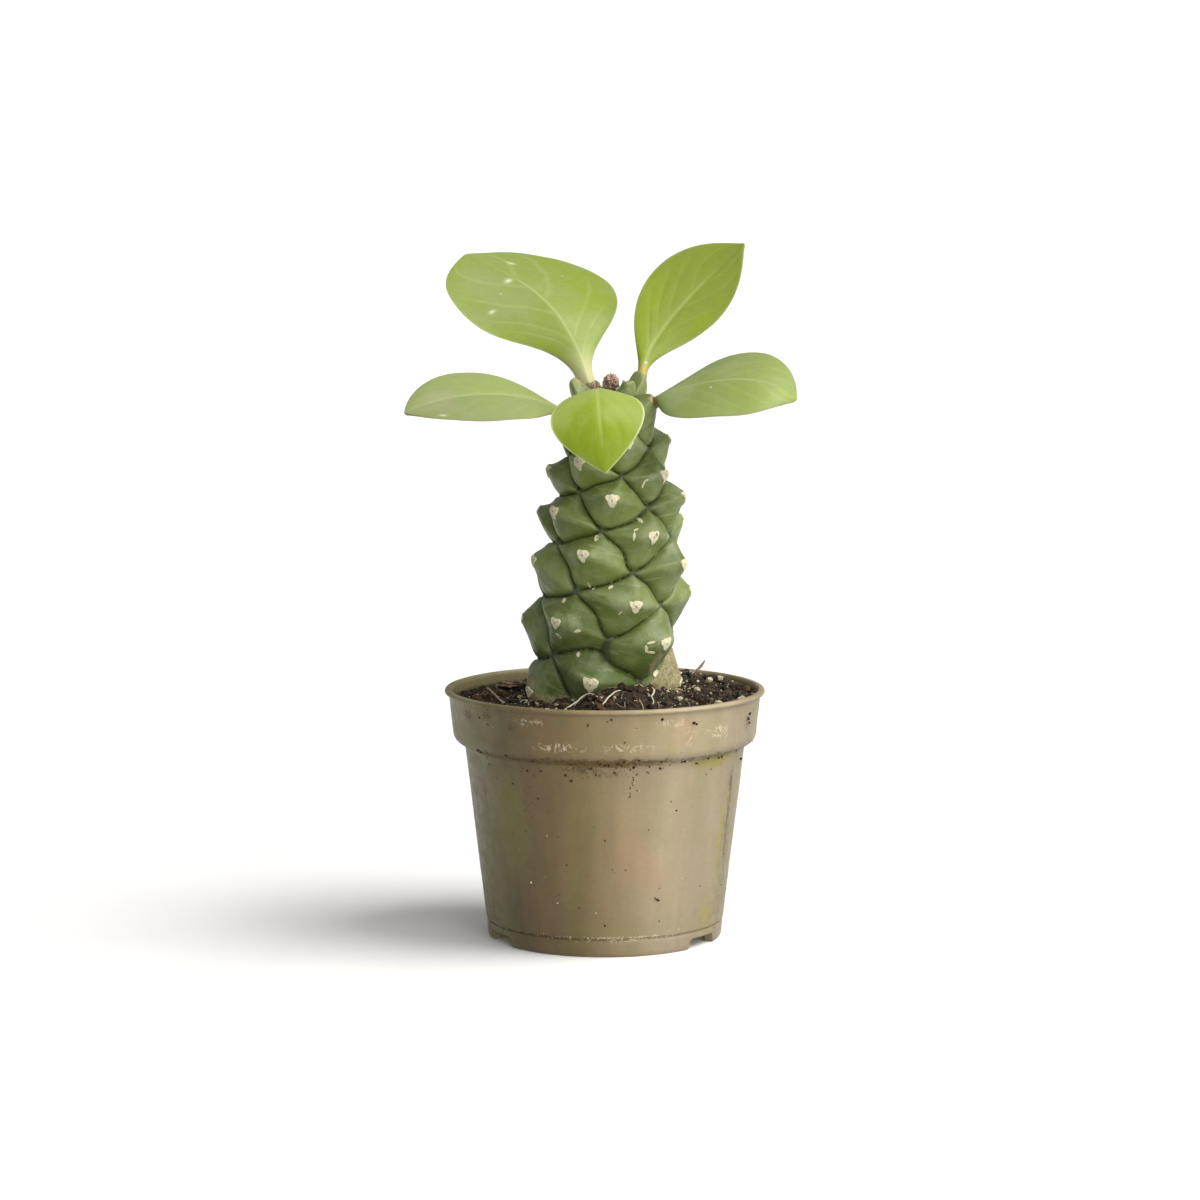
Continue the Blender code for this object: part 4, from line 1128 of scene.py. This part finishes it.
# Paler or brighter areas of the blades: place along the blade, share of the half width (left
# is below 0), spreads, amount (lime above 0, grey bloom below 0).
LEAF_PATCHES = {
    "upper_left": ((0.25, -0.85, 0.25, 0.25, 0.9), (0.62, 0.7, 0.3, 0.3, 0.7), (0.75, -0.5, 0.3, 0.5, -0.8)),
    "upper_right": ((0.35, -0.7, 0.35, 0.35, 0.8), (0.55, 0.75, 0.3, 0.25, 0.5), (0.7, 0.3, 0.3, 0.4, -0.5)),
    "lower_left": ((0.3, 0.6, 0.3, 0.4, 0.5), (0.9, 0.0, 0.18, 0.8, -0.9)),
    "lower_right": ((0.9, 0.2, 0.12, 0.4, 0.8), (0.2, 0.2, 0.25, 0.6, -0.8), (0.5, -0.4, 0.3, 0.4, -0.4)),
    "front": ((0.85, 0.0, 0.25, 1.2, 1.2), (0.1, 0.0, 0.13, 1.2, -1.6)),
}
# Pale scratches: place along the blade, share of the half width, half length along and across.
SCRATCHES = {
    "upper_left": ((0.78, -0.11, 0.012, 0.05), (0.68, -0.68, 0.01, 0.04), (0.88, 0.33, 0.012, 0.03)),
    "lower_left": ((0.87, -0.76, 0.014, 0.05),),
}


def blade_width(blade, widening, widening_power, closing, closing_power):
    """Width of a blade along its length, as a share of its greatest width."""
    def shape(b):
        return ((1.0 - np.exp(-(b / widening) ** widening_power))
                * (1.0 - np.exp(-((1.0 - b) / closing) ** closing_power)))
    return shape(blade) / shape(np.linspace(0.0, 1.0, 101)).max()


def bezier(points, t):
    """Points and directions of a cubic curve."""
    a, b, c, d = (np.asarray(p, float) for p in points)
    t = np.asarray(t, float)[..., None]
    s = 1.0 - t
    place = a * s ** 3 + b * (3 * s * s * t) + c * (3 * s * t * t) + d * t ** 3
    way = (b - a) * (3 * s * s) + (c - b) * (6 * s * t) + (d - c) * (3 * t * t)
    return place, unit(way)


def leaf_spine(controls, face_base, face_tip, t):
    """Points on the midrib, with the directions across the blade and out of its upper face."""
    place, way = bezier(controls, t)
    base, tip = unit(np.array(face_base)), unit(np.array(face_tip))
    normal = base + (tip - base) * t[..., None]
    side = unit(np.cross(way, normal))
    return place, side, np.cross(side, way)


def vein_gap(name, across, blade, wander, length):
    """Distance from each point of a blade to the nearest side vein of its half."""
    start = blade - VEIN_LAG * np.abs(across) ** 1.2 * (1.0 - 0.4 * blade) + wander
    left, right = (np.min([np.abs(start - place) for place in places], axis=0)
                   for places in VEINS[name][:2])
    return np.where(across > 0.0, right, left) * length * 0.7


def blot(blade, signed, along, aside, spread_along, spread_aside):
    """How strongly a spot covers each point of a blade."""
    return hill(blade - along, spread_along) * hill(signed - aside, spread_aside)


def make_leaf(name, spec, seed):
    """A thick leaf on a short petiole, its veins sunk in the upper face and raised below."""
    bearer, route, face_base, face_tip, left, right, *outline, fold, petiole = spec
    controls = [tubercle_tip(bearer), *route]
    _, way = bezier(controls, 0.0)
    controls[0] = controls[0] - way * 0.5
    t = 0.998 * np.sin(np.linspace(0.0, 1.0, LEAF_ROWS) * math.pi / 2.0)[:, None]
    angle = np.linspace(0.0, 2.0 * math.pi, LEAF_TURNS, endpoint=False)[None, :]
    place, side, normal = leaf_spine(controls, face_base, face_tip, t)

    blade = np.clip((t - PETIOLE_SHARE) / (1.0 - PETIOLE_SHARE), 0.0, 1.0)
    swell = blade_width(blade, *outline)
    across, above = np.cos(angle), np.sin(angle)
    share, top = np.abs(across), above > 0.0
    half = np.where(across > 0.0, right, left)
    width = petiole * (1.0 - 0.75 * smooth(0.6, 1.0, t)) + half * swell
    reach = across * width
    middle = petiole + (LEAF_THICKNESS / 2.0 - petiole) * smooth(0.0, 0.4, t)
    middle = middle * (1.0 - 0.6 * smooth(0.7, 1.0, t))
    thick = above * (middle + (LEAF_EDGE / 2.0 - middle) * across ** 2 * swell)

    flat_blade = place + side * reach[..., None]
    wander = 0.02 * rough(flat_blade, 7.0, seed)
    length = float(np.linalg.norm(controls[3] - controls[0]))
    gap = vein_gap(name, across, blade, wander, length)
    vein = hill(gap, VEIN_WIDTH) * smooth(0.0, 0.05, share) * (1.0 - smooth(0.6, 0.92, share))
    rib = hill(np.abs(reach), RIB_WIDTH) * smooth(0.1, 0.3, t) * (1.0 - smooth(0.75, 1.0, t))
    pillow = 0.05 * smooth(0.0, 3.0, gap) * np.sin(math.pi * np.clip(share, 0.0, 1.0))
    upper = pillow * smooth(0.15, 0.35, t) - 0.12 * rib - 0.02 * vein
    relief = np.where(top, upper, -0.45 * rib - 0.08 * vein)
    wave = 0.45 * rough(flat_blade, 11.0, seed + 5.0) * share ** 2 * swell
    fold = math.radians(fold)
    lift = np.abs(reach) * math.sin(fold) + thick + relief * np.abs(above) ** 0.5 + wave
    points = place + side * (math.cos(fold) * reach)[..., None] + normal * lift[..., None]

    signed = share * np.sign(across)
    patches = sum(amount * blot(blade, signed, *spot) for *spot, amount in LEAF_PATCHES[name])
    scratches = [blot(blade, signed, *spot) for spot in SCRATCHES.get(name, ())]
    marks = {
        "along": t, "rib": np.abs(reach), "edge": (1.0 - share) * width, "vein": vein,
        "patch": 0.5 + 0.5 * patches, "scratch": np.max(scratches, axis=0) if scratches else 0.0,
        "under": np.where(top, 0.0, 1.0),
    }
    at_poles = dict.fromkeys(marks, (0.0, 0.0))
    at_poles.update(along=(0.0, 1.0), edge=(1.0, 0.0), patch=(0.5, 0.5))
    stored = {key: np.append(np.broadcast_to(value, reach.shape).ravel(), at_poles[key])
              for key, value in marks.items()}
    (base, tip), (base_way, _) = bezier(controls, np.array([0.0, 1.0]))
    flat = np.concatenate([points.reshape(-1, 3), [base - base_way * 0.4, tip]])
    add_piece("leaf_blade_" + name, flat, ring_faces(LEAF_ROWS, LEAF_TURNS), leaf_skin(name),
              stored, ["leaf_" + name], 75.0)


def leaf_skin(name):
    """Fleshy leaf: mottled green with pale veins, a paler foot and a thin coloured margin."""
    blade, bright, bloom, vein_colour, foot, margin = LEAF_COLOURS[name]
    p = Paint("leaf_skin_" + name, 0.5, 0.28)
    mottle = p.math("ADD", p.mark("patch"), p.swing(1.2, 9.0, 3.0))
    colour = p.mix(p.step(mottle, 0.45, 0.95), blade, bright)
    colour = p.mix(p.step(mottle, 0.45, -0.05, 0.0, 0.75), colour, bloom)
    line = p.times(p.mark("vein"), VEINS[name][2])
    along = p.mark("along")
    rib = p.times(p.step(p.mark("rib"), 0.15, 0.8, 1.0, 0.0), p.step(along, 0.65, 0.95, 0.6, 0.0))
    net = p.step(p.cells(2.1, feature="DISTANCE_TO_EDGE"), 0.0, 0.14, 0.06, 0.0)
    veins = p.most(p.most(line, rib), net)
    colour = p.mix(veins, colour, vein_colour)
    colour = p.shade(colour, p.noise(2.6, 5.0, 0.6), 0.92, 1.08)
    colour = p.mix(p.step(along, 0.04, FOOT_REACH[name], 0.9, 0.0), colour, foot)
    colour = p.cover(colour, p.mark("under"), 0.45, (0.24, 0.30, 0.13))
    rough_edge = p.math("ADD", p.mark("edge"), p.times(p.noise(2.0), 0.5))
    rim = p.times(p.step(rough_edge, 0.35, 0.95, 1.0, 0.0), p.step(along, 0.12, 0.3, 0.0, 0.8))
    colour = p.mix(rim, colour, margin)
    worn = p.most(p.times(p.specks(5.5, 0.10, 0.09), 0.5), p.mark("scratch"))
    colour = p.mix(worn, colour, (0.60, 0.63, 0.42))
    roughness = p.step(p.noise(3.5, 4.0), 0.25, 0.75, 0.38, 0.55)
    normal = p.bump(p.noise(0.5, 5.0, 0.6), 0.03)
    normal = p.bump(net, 0.1, 0.6, normal)
    return p.finish(colour, roughness, normal)


# ---------------------------------------------------------------- soil and what lies on it

SOIL_BOTTOM = 4.6
SOIL_LEVEL = 63.0
SOIL_EDGE = 39.6                # how far from the middle loose things lie
GAP = 0.35
SOIL_WALL_GAP = 0.15            # between the surface's edge and the band
SOIL_RINGS = 120
SOIL_TURNS = 300
# Heaps of soil: x, y, extra height, spread.
SOIL_HEAPS = ((21.0, 14.0, 4.4, 8.0), (11.0, -8.0, 3.0, 8.0), (-6.0, 24.0, 1.0, 14.0), (3.0, -19.5, 4.6, 7.5))
CRUMB_COUNT = 950
GRIT_COUNT = 330
FIBRE_COUNT = 150
# Perlite grains: x, y, half sizes.
PERLITE = (
    (29.6, -14.5, (1.1, 0.9, 0.75)), (36.0, -9.5, (1.4, 1.0, 0.9)), (24.5, -1.0, (0.9, 0.8, 0.7)),
    (19.6, -15.0, (0.9, 0.7, 0.6)), (31.0, 13.0, (1.0, 0.9, 0.8)), (28.0, 7.0, (0.9, 0.9, 0.8)),
    (9.0, -15.5, (1.1, 0.9, 0.8)), (-15.0, -22.0, (0.8, 0.7, 0.6)), (-22.5, 2.0, (0.8, 0.7, 0.6)),
    (-30.0, -12.0, (0.9, 0.7, 0.6)),
)
NEEDLE = ((-31.5, 8.0, 1.4), (-29.0, -1.0, 0.9), (-26.5, -10.0, 0.4), (-24.0, -19.0, 0.2),
          (-22.8, -25.0, 0.1))
TWIG = ((25.0, 21.5, 0.2), (26.0, 21.5, 1.6), (27.2, 21.3, 3.6))
ROOT_STRANDS = {
    "root_strand_front": ((12.5, -15.0, 0.6), (12.8, -18.0, 0.5), (12.2, -21.0, 0.3),
                          (12.6, -24.0, 0.2), (12.0, -27.0, 0.2)),
    "root_strand_left": ((-10.0, -22.5, 0.1), (-7.5, -21.0, 0.6), (-5.0, -20.0, 1.1),
                         (-3.0, -21.5, 0.8), (-1.6, -24.5, 0.2)),
    "root_strand_middle": ((-1.0, -29.0, 0.1), (0.5, -26.0, 0.6), (2.4, -23.0, 0.7),
                           (4.0, -21.0, 0.2)),
}


def soil_height(x, y):
    """Height of the soil's surface."""
    height = SOIL_LEVEL + 0.018 * x + 0.01 * y
    for heap_x, heap_y, extra, spread in SOIL_HEAPS:
        away = (x - heap_x) ** 2 + (y - heap_y) ** 2
        height += extra * math.exp(-away / (2.0 * spread ** 2))
    return height + 0.7 * noise.noise(Vector((x * 0.16, y * 0.16, 3.0)))


def crumbly(x, y):
    """Height of the soil's surface with its crumbs."""
    height = soil_height(x, y)
    for relief, scale, seed in ((0.55, 0.55, 9.0), (0.4, 1.3, 5.0), (0.22, 3.1, 2.0)):
        height += relief * noise.noise(Vector((x * scale, y * scale, seed)))
    return height


def highest_soil(x, y, reach):
    """Highest soil under a small piece that reaches this far from its middle."""
    steps = (-reach, 0.0, reach)
    return max(soil_height(x + dx, y + dy) for dx in steps for dy in steps)


def stem_clearance(x, y):
    """Distance from a point on the soil to the stem's surface, below 0 inside the stem."""
    middle = axis_point(FOOT_HEIGHT)
    dx, dy = x - middle[0], y - middle[1]
    azimuth = math.degrees(math.atan2(dx, -dy))
    edge = stem_point(azimuth, FOOT_NUMBER) - middle
    return math.hypot(dx, dy) - math.hypot(edge[0], edge[1])


def make_soil():
    """Damp potting mix: a crumbly surface over the soil that fills the pot."""
    wall = ((BODY_FOOT[0] - WALL, SOIL_BOTTOM + 0.6), (BODY_TOP[0] - WALL, BODY_TOP[1] - 0.2),
            (37.1, 52.9), (38.6, 54.0), (BAND_FOOT_RADIUS - WALL, BAND_FOOT_Z + 0.4))
    rings = [(29.6, SOIL_BOTTOM)] + [(radius - GAP, z) for radius, z in wall]
    angles = np.linspace(0.0, 2.0 * math.pi, SOIL_TURNS, endpoint=False)
    points = [(r * math.cos(a), r * math.sin(a), z) for r, z in rings for a in angles]
    edge = BAND_TOP_RADIUS - WALL - SOIL_WALL_GAP
    for ring in range(SOIL_RINGS):
        radius = edge * (1.0 - ring / SOIL_RINGS)
        for angle in angles:
            x, y = radius * math.cos(angle), radius * math.sin(angle)
            points.append((x, y, crumbly(x, y)))
    points += [(0.0, 0.0, SOIL_BOTTOM), (0.0, 0.0, crumbly(0.0, 0.0))]
    faces = ring_faces(len(rings) + SOIL_RINGS, SOIL_TURNS)
    marks = {"tone": np.full(len(points), 0.35)}
    add_piece("potting_mix", points, faces, soil_mix(), marks, ["soil"], 80.0)


def spots_on_soil(count, seed, clear=0.3, edge=SOIL_EDGE, near=None):
    """Random places on the soil outside the stem; near draws them towards the stem."""
    draw = random.Random(seed)
    found = []
    while len(found) < count:
        radius = edge * math.sqrt(draw.random())
        turn = draw.uniform(0.0, 2.0 * math.pi)
        x, y = radius * math.cos(turn), radius * math.sin(turn)
        away = stem_clearance(x, y)
        if away < clear:
            continue
        if near is not None and draw.random() > math.exp(-away / near):
            continue
        found.append((x, y, draw))
    return found


def make_soil_litter():
    """Crumbs of peat, pale grit and loose fibres, scattered over the soil."""
    peat = []
    for x, y, draw in spots_on_soil(CRUMB_COUNT, 3):
        size = 0.35 + 1.3 * draw.random() ** 3
        half = (size * draw.uniform(0.7, 1.3), size * draw.uniform(0.6, 1.0), size * draw.uniform(0.5, 0.9))
        peat.append(((x, y, crumbly(x, y) + 0.3 * half[2]), half, draw.random()))
    lumps("peat_crumbs", peat, soil_mix(), 1, 0.3, 31)

    grit = []
    for x, y, draw in spots_on_soil(GRIT_COUNT, 4, 0.1) + spots_on_soil(GRIT_COUNT, 5, 0.1, near=2.2):
        size = 0.16 + 0.4 * draw.random() ** 2.5
        grit.append(((x, y, crumbly(x, y) + 0.35), (size, size * 0.85, size * 0.75), draw.random()))
    lumps("pale_grit", grit, perlite_grain(), 1, 0.25, 32)

    routes = []
    for x, y, draw in spots_on_soil(FIBRE_COUNT, 6, 0.8, 36.0):
        heading = draw.uniform(0.0, 2.0 * math.pi)
        length = draw.uniform(2.0, 7.5)
        bend = draw.uniform(-1.2, 1.2)
        places = []
        for step in range(5):
            share = step / 4.0
            x += math.cos(heading + bend * share) * length / 4.0
            y += math.sin(heading + bend * share) * length / 4.0
            if math.hypot(x, y) > SOIL_EDGE - 0.1 or stem_clearance(x, y) < 0.2:
                break
            places.append((x, y, crumbly(x, y) + 0.15 + 0.8 * math.sin(math.pi * share) * draw.random()))
        if len(places) > 2:
            routes.append((places, draw.uniform(0.07, 0.17), 0.5, draw.random()))
    fibres("loose_fibres", routes, fibre_bark("loose_fibre"), 5, 33)


def soil_mix():
    """Dark damp peat with brown and reddish bits."""
    p = Paint("soil_mix", 0.85, 0.35)
    colour = p.ramp(p.noise(1.6, 8.0, 0.75), (0.32, (0.006, 0.004, 0.002)), (0.5, (0.02, 0.0125, 0.0055)),
                    (0.66, (0.085, 0.052, 0.024)))
    tone = p.mark("tone")
    colour = p.mix(p.step(tone, 0.55, 1.0, 0.0, 0.75), colour, (0.12, 0.065, 0.03))
    colour = p.mix(p.step(tone, 0.3, 0.0, 0.0, 0.6), colour, (0.012, 0.009, 0.006))
    colour = p.cover(colour, p.specks(1.1, 0.22, 0.16), 0.8, (0.34, 0.25, 0.14))
    roughness = p.step(p.noise(2.0, 4.0), 0.3, 0.7, 0.6, 0.95)
    normal = p.bump(p.noise(0.5, 6.0, 0.75), 0.35)
    return p.finish(colour, roughness, normal)


def dried_soil():
    """Dry brown soil."""
    p = Paint("dried_soil", 0.9, 0.2)
    colour = p.ramp(p.noise(0.9, 5.0, 0.7), (0.3, (0.018, 0.01, 0.004)), (0.55, (0.05, 0.03, 0.012)),
                    (0.75, (0.11, 0.07, 0.035)))
    colour = p.mix(p.step(p.mark("tone"), 0.6, 1.0, 0.0, 0.7), colour, (0.11, 0.055, 0.025))
    return p.finish(colour, 0.9, p.bump(p.noise(0.4, 5.0, 0.7), 0.15))


def perlite_grain():
    """Pale glassy grain, pocked and dusted with soil."""
    p = Paint("perlite_grain", 0.85, 0.3)
    colour = p.ramp(p.noise(0.8, 6.0, 0.7), (0.3, (0.34, 0.25, 0.15)), (0.5, (0.60, 0.53, 0.39)),
                    (0.72, (0.78, 0.74, 0.62)))
    colour = p.mix(p.step(p.mark("tone"), 0.3, 1.0, 0.0, 0.65), colour, (0.30, 0.26, 0.12))
    return p.finish(colour, 0.85, p.bump(p.cells(0.5), 0.2))


def fibre_bark(name, pale=(0.55, 0.48, 0.36)):
    """Dry root and bark fibre, from pale straw to reddish brown."""
    p = Paint(name, 0.8, 0.3)
    colour = p.ramp(p.mark("tone"), (0.0, (0.10, 0.045, 0.025)), (0.45, (0.22, 0.12, 0.07)),
                    (0.75, (0.34, 0.25, 0.16)), (1.0, pale))
    colour = p.shade(colour, p.noise(0.9, 5.0, 0.7), 0.6, 1.35)
    return p.finish(colour, 0.8, p.bump(p.noise(0.35, 5.0, 0.7), 0.08))


def rough_grain(name, node, place, size, seed, finish, depth, rounds=4):
    """One detailed lump that stands for a CAD node: folded and pocked by noise."""
    template, faces = ball(rounds)
    folds = 1.0 + 0.35 * rough(template, 0.72, seed)
    pocks = depth * np.abs(rough(template, 0.28, seed + 2.0))
    pocks += 0.5 * depth * rough(template, 0.12, seed + 4.0)
    shape = template * (folds - pocks)[:, None] * np.array(size)
    turn = np.array(Matrix.Rotation(random.Random(seed).random() * math.pi, 3, "Z"))
    shape = shape @ turn.T
    shape[:, 2] -= shape[:, 2].min()
    tone = np.clip(0.5 + 1.4 * rough(template, 0.5, seed + 9.0), 0.0, 1.0)
    return add_piece(name, shape + np.array(place), faces.tolist(), finish, {"tone": tone}, [node])


def strand(name, node, places, radius, tip, tone, finish, sides=10):
    """One detailed strand that stands for a CAD node."""
    route = curve_through(places, 14)
    share = np.linspace(0.0, 1.0, len(route))
    route = route + 0.12 * np.stack([rough(route, 1.6, seed) for seed in (11.0, 12.0, 13.0)], -1)
    radii = radius * (1.0 + (tip - 1.0) * share) * (1.0 + 0.35 * rough(route, 1.1, 14.0))
    points = tube(route, radii, sides)
    add_piece(name, points, ring_faces(len(route), sides), finish,
              {"tone": np.full(len(points), tone)}, [node], 80.0)


def over_soil(places, lift):
    """Route points a little above the soil."""
    return [(x, y, highest_soil(x, y, 0.8) + lift + extra) for x, y, extra in places]


def make_things_on_soil():
    """The perlite grains, needle, twig, bark chip and bare root strands that lie on the soil."""
    grain_finish = perlite_grain()
    for index, (x, y, size) in enumerate(PERLITE):
        number = index + 1
        rough_grain("perlite_grain_%02d" % number, "perlite_%02d" % number,
                    (x, y, highest_soil(x, y, 1.2) - 0.2), size, index, grain_finish, 0.35)
    pale_finish = fibre_bark("pale_fibre", (0.58, 0.52, 0.40))
    strand("dry_needle", "needle", over_soil(NEEDLE, 0.6), 0.3, 0.6, 0.82, pale_finish)
    bark_finish = fibre_bark("bark_fibre")
    strand("snapped_twig", "twig", over_soil(TWIG, 0.4), 0.5, 0.5, 0.75, bark_finish)
    x, y = -25.0, 19.0
    rough_grain("bark_flake", "bark_chip", (x, y, highest_soil(x, y, 4.0) - 0.2), (4.4, 2.2, 0.9), 21,
                bark_finish, 0.3)
    for name, places in ROOT_STRANDS.items():
        strand(name + "_skin", name, over_soil(places, 0.3), 0.25, 0.5, 1.0, pale_finish)


# ---------------------------------------------------------------- dried bud and bracts

# Each dried piece: its middle from the growing tip, half sizes, seed.
DRIED_REMAINS = {
    "bud": ((0.4, -0.6, -1.2), (2.4, 2.0, 2.5), 5),
    "bract_left": ((-3.5, -1.4, -0.7), (1.4, 1.1, 1.5), 6),
    "bract_right": ((4.3, -2.2, 0.1), (1.4, 1.1, 1.3), 7),
}


def make_dried_remains():
    """Shrivelled bud and bracts on the growing tip."""
    middle = axis_point(BUD_HEIGHT)
    finish = dry_paper()
    for name, (offset, size, seed) in DRIED_REMAINS.items():
        rough_grain("shrivelled_" + name, "dried_" + name, middle + np.array(offset), size, seed,
                    finish, 0.5)


def dry_paper():
    """Papery pinkish-brown plant remains with dark folds."""
    p = Paint("dry_paper", 0.85, 0.3)
    colour = p.ramp(p.noise(1.0, 6.0, 0.75), (0.28, (0.07, 0.04, 0.025)), (0.42, (0.26, 0.165, 0.115)),
                    (0.56, (0.50, 0.35, 0.27)), (0.74, (0.74, 0.57, 0.46)))
    return p.finish(colour, 0.85, p.bump(p.noise(0.5, 6.0, 0.7), 0.3))


# ---------------------------------------------------------------- dirt that clings to the pot

# Crumbs caught under the band: azimuth, spread in degrees, count.
CRUMB_CLUSTERS = ((-53.0, 5.0, 13), (-38.0, 3.0, 7), (-28.0, 3.0, 8), (-15.0, 8.0, 15), (4.0, 8.0, 17),
                  (18.0, 7.0, 11), (34.0, 8.0, 7), (58.0, 6.0, 11), (105.0, 18.0, 20), (160.0, 14.0, 15),
                  (-110.0, 16.0, 18), (-160.0, 10.0, 11))
CRUMB_TRAIL_AZIMUTH = 11.0      # of a row of crumbs that runs down from the band
CRUMB_TRAIL_COUNT = 12
CRUMB_TRAIL_STEP = 0.7
DUST_COUNT = 70
LIME_COUNT = 90
# Larger specks on the wall: azimuth, height, half size.
SOIL_SPECKS = (
    (-6.1, 62.4, 0.42), (20.7, 63.6, 0.5), (33.6, 62.0, 0.55), (34.8, 61.6, 0.4), (67.0, 61.6, 0.5),
    (66.0, 60.4, 0.55), (67.5, 59.2, 0.4), (2.3, 63.9, 0.35), (0.8, 63.4, 0.25), (7.1, 57.9, 0.3),
    (-40.7, 45.1, 0.3), (-28.5, 41.9, 0.36), (31.0, 38.6, 0.32), (0.0, 31.4, 0.3), (-16.8, 24.7, 0.32),
    (23.2, 15.4, 0.34), (24.4, 15.0, 0.42), (25.2, 14.8, 0.3), (0.0, 8.6, 0.34), (-11.7, 13.3, 0.28),
    (-52.0, 62.0, 0.3), (-47.5, 60.6, 0.28),
)
LIME_SPECKS = ((-25.4, 32.2, 0.28), (-35.0, 19.0, 0.3), (-21.9, 14.2, 0.26), (14.0, 44.5, 0.2),
               (-4.0, 12.0, 0.22), (37.0, 20.0, 0.22))


def pot_radius(height):
    """Outer radius of the pot at a height."""
    heights = (0.6, 4.1, 5.1, 50.6, 51.5, 52.3, 53.1, BAND_FOOT_Z, RIM_TOP - 1.5)
    radii = (FOOT_RADIUS, FOOT_RADIUS + 0.28, BODY_FOOT[0], BODY_TOP[0], 37.6, 38.8, 39.7,
             BAND_FOOT_RADIUS, BAND_TOP_RADIUS)
    return float(np.interp(height, heights, radii))


def on_pot(azimuth, height, out=0.0):
    """A point on the pot's outer wall."""
    turn = math.radians(azimuth)
    radius = pot_radius(height) + out
    return (radius * math.sin(turn), -radius * math.cos(turn), height)


def make_pot_crumbs():
    """Soil crumbs caught under the pot's band and on its wall, and lime grains on the foot."""
    draw = random.Random(8)
    soil, lime = [], []
    for middle, spread, count in CRUMB_CLUSTERS:
        for _ in range(count):
            size = 0.12 + 0.42 * draw.random() ** 2
            place = on_pot(draw.gauss(middle, spread), 53.0 - abs(draw.gauss(0.0, 1.9)), size * 0.3)
            soil.append((place, (size, size * 0.8, size * 0.7), draw.random()))
    for step in range(CRUMB_TRAIL_COUNT):
        size = draw.uniform(0.12, 0.26)
        azimuth = CRUMB_TRAIL_AZIMUTH + draw.gauss(0.0, 0.8)
        place = on_pot(azimuth, 51.0 - CRUMB_TRAIL_STEP * step, size * 0.3)
        soil.append((place, (size, size * 0.8, size * 1.2), draw.random()))
    for _ in range(DUST_COUNT):
        size = draw.uniform(0.08, 0.2)
        place = on_pot(draw.uniform(-180.0, 180.0), draw.uniform(8.0, 64.0), size * 0.2)
        soil.append((place, (size, size, size), draw.random()))
    for specks, places in ((soil, SOIL_SPECKS), (lime, LIME_SPECKS)):
        for azimuth, height, size in places:
            place = on_pot(azimuth, height, size * 0.2)
            specks.append((place, (size, size * 0.8, size * 0.8), draw.random() * 0.5))
    lumps("soil_specks", soil, dried_soil(), 1, 0.3, 35)
    for _ in range(LIME_COUNT):
        size = draw.uniform(0.08, 0.2)
        azimuth = draw.gauss(5.0, 22.0) if draw.random() < 0.6 else draw.uniform(-180.0, 180.0)
        lime.append((on_pot(azimuth, draw.gauss(5.0, 0.25)), (size, size, size * 0.7), draw.random() * 0.4))
    lumps("lime_specks", lime, perlite_grain(), 1, 0.3, 36)


# ---------------------------------------------------------------- everything

make_camera()
make_lights()
make_stage()
make_pot()
make_stem()
make_scars()
for order, (leaf_name, leaf_spec) in enumerate(LEAVES.items()):
    make_leaf(leaf_name, leaf_spec, float(order))
make_soil()
make_soil_litter()
make_things_on_soil()
make_dried_remains()
make_pot_crumbs()
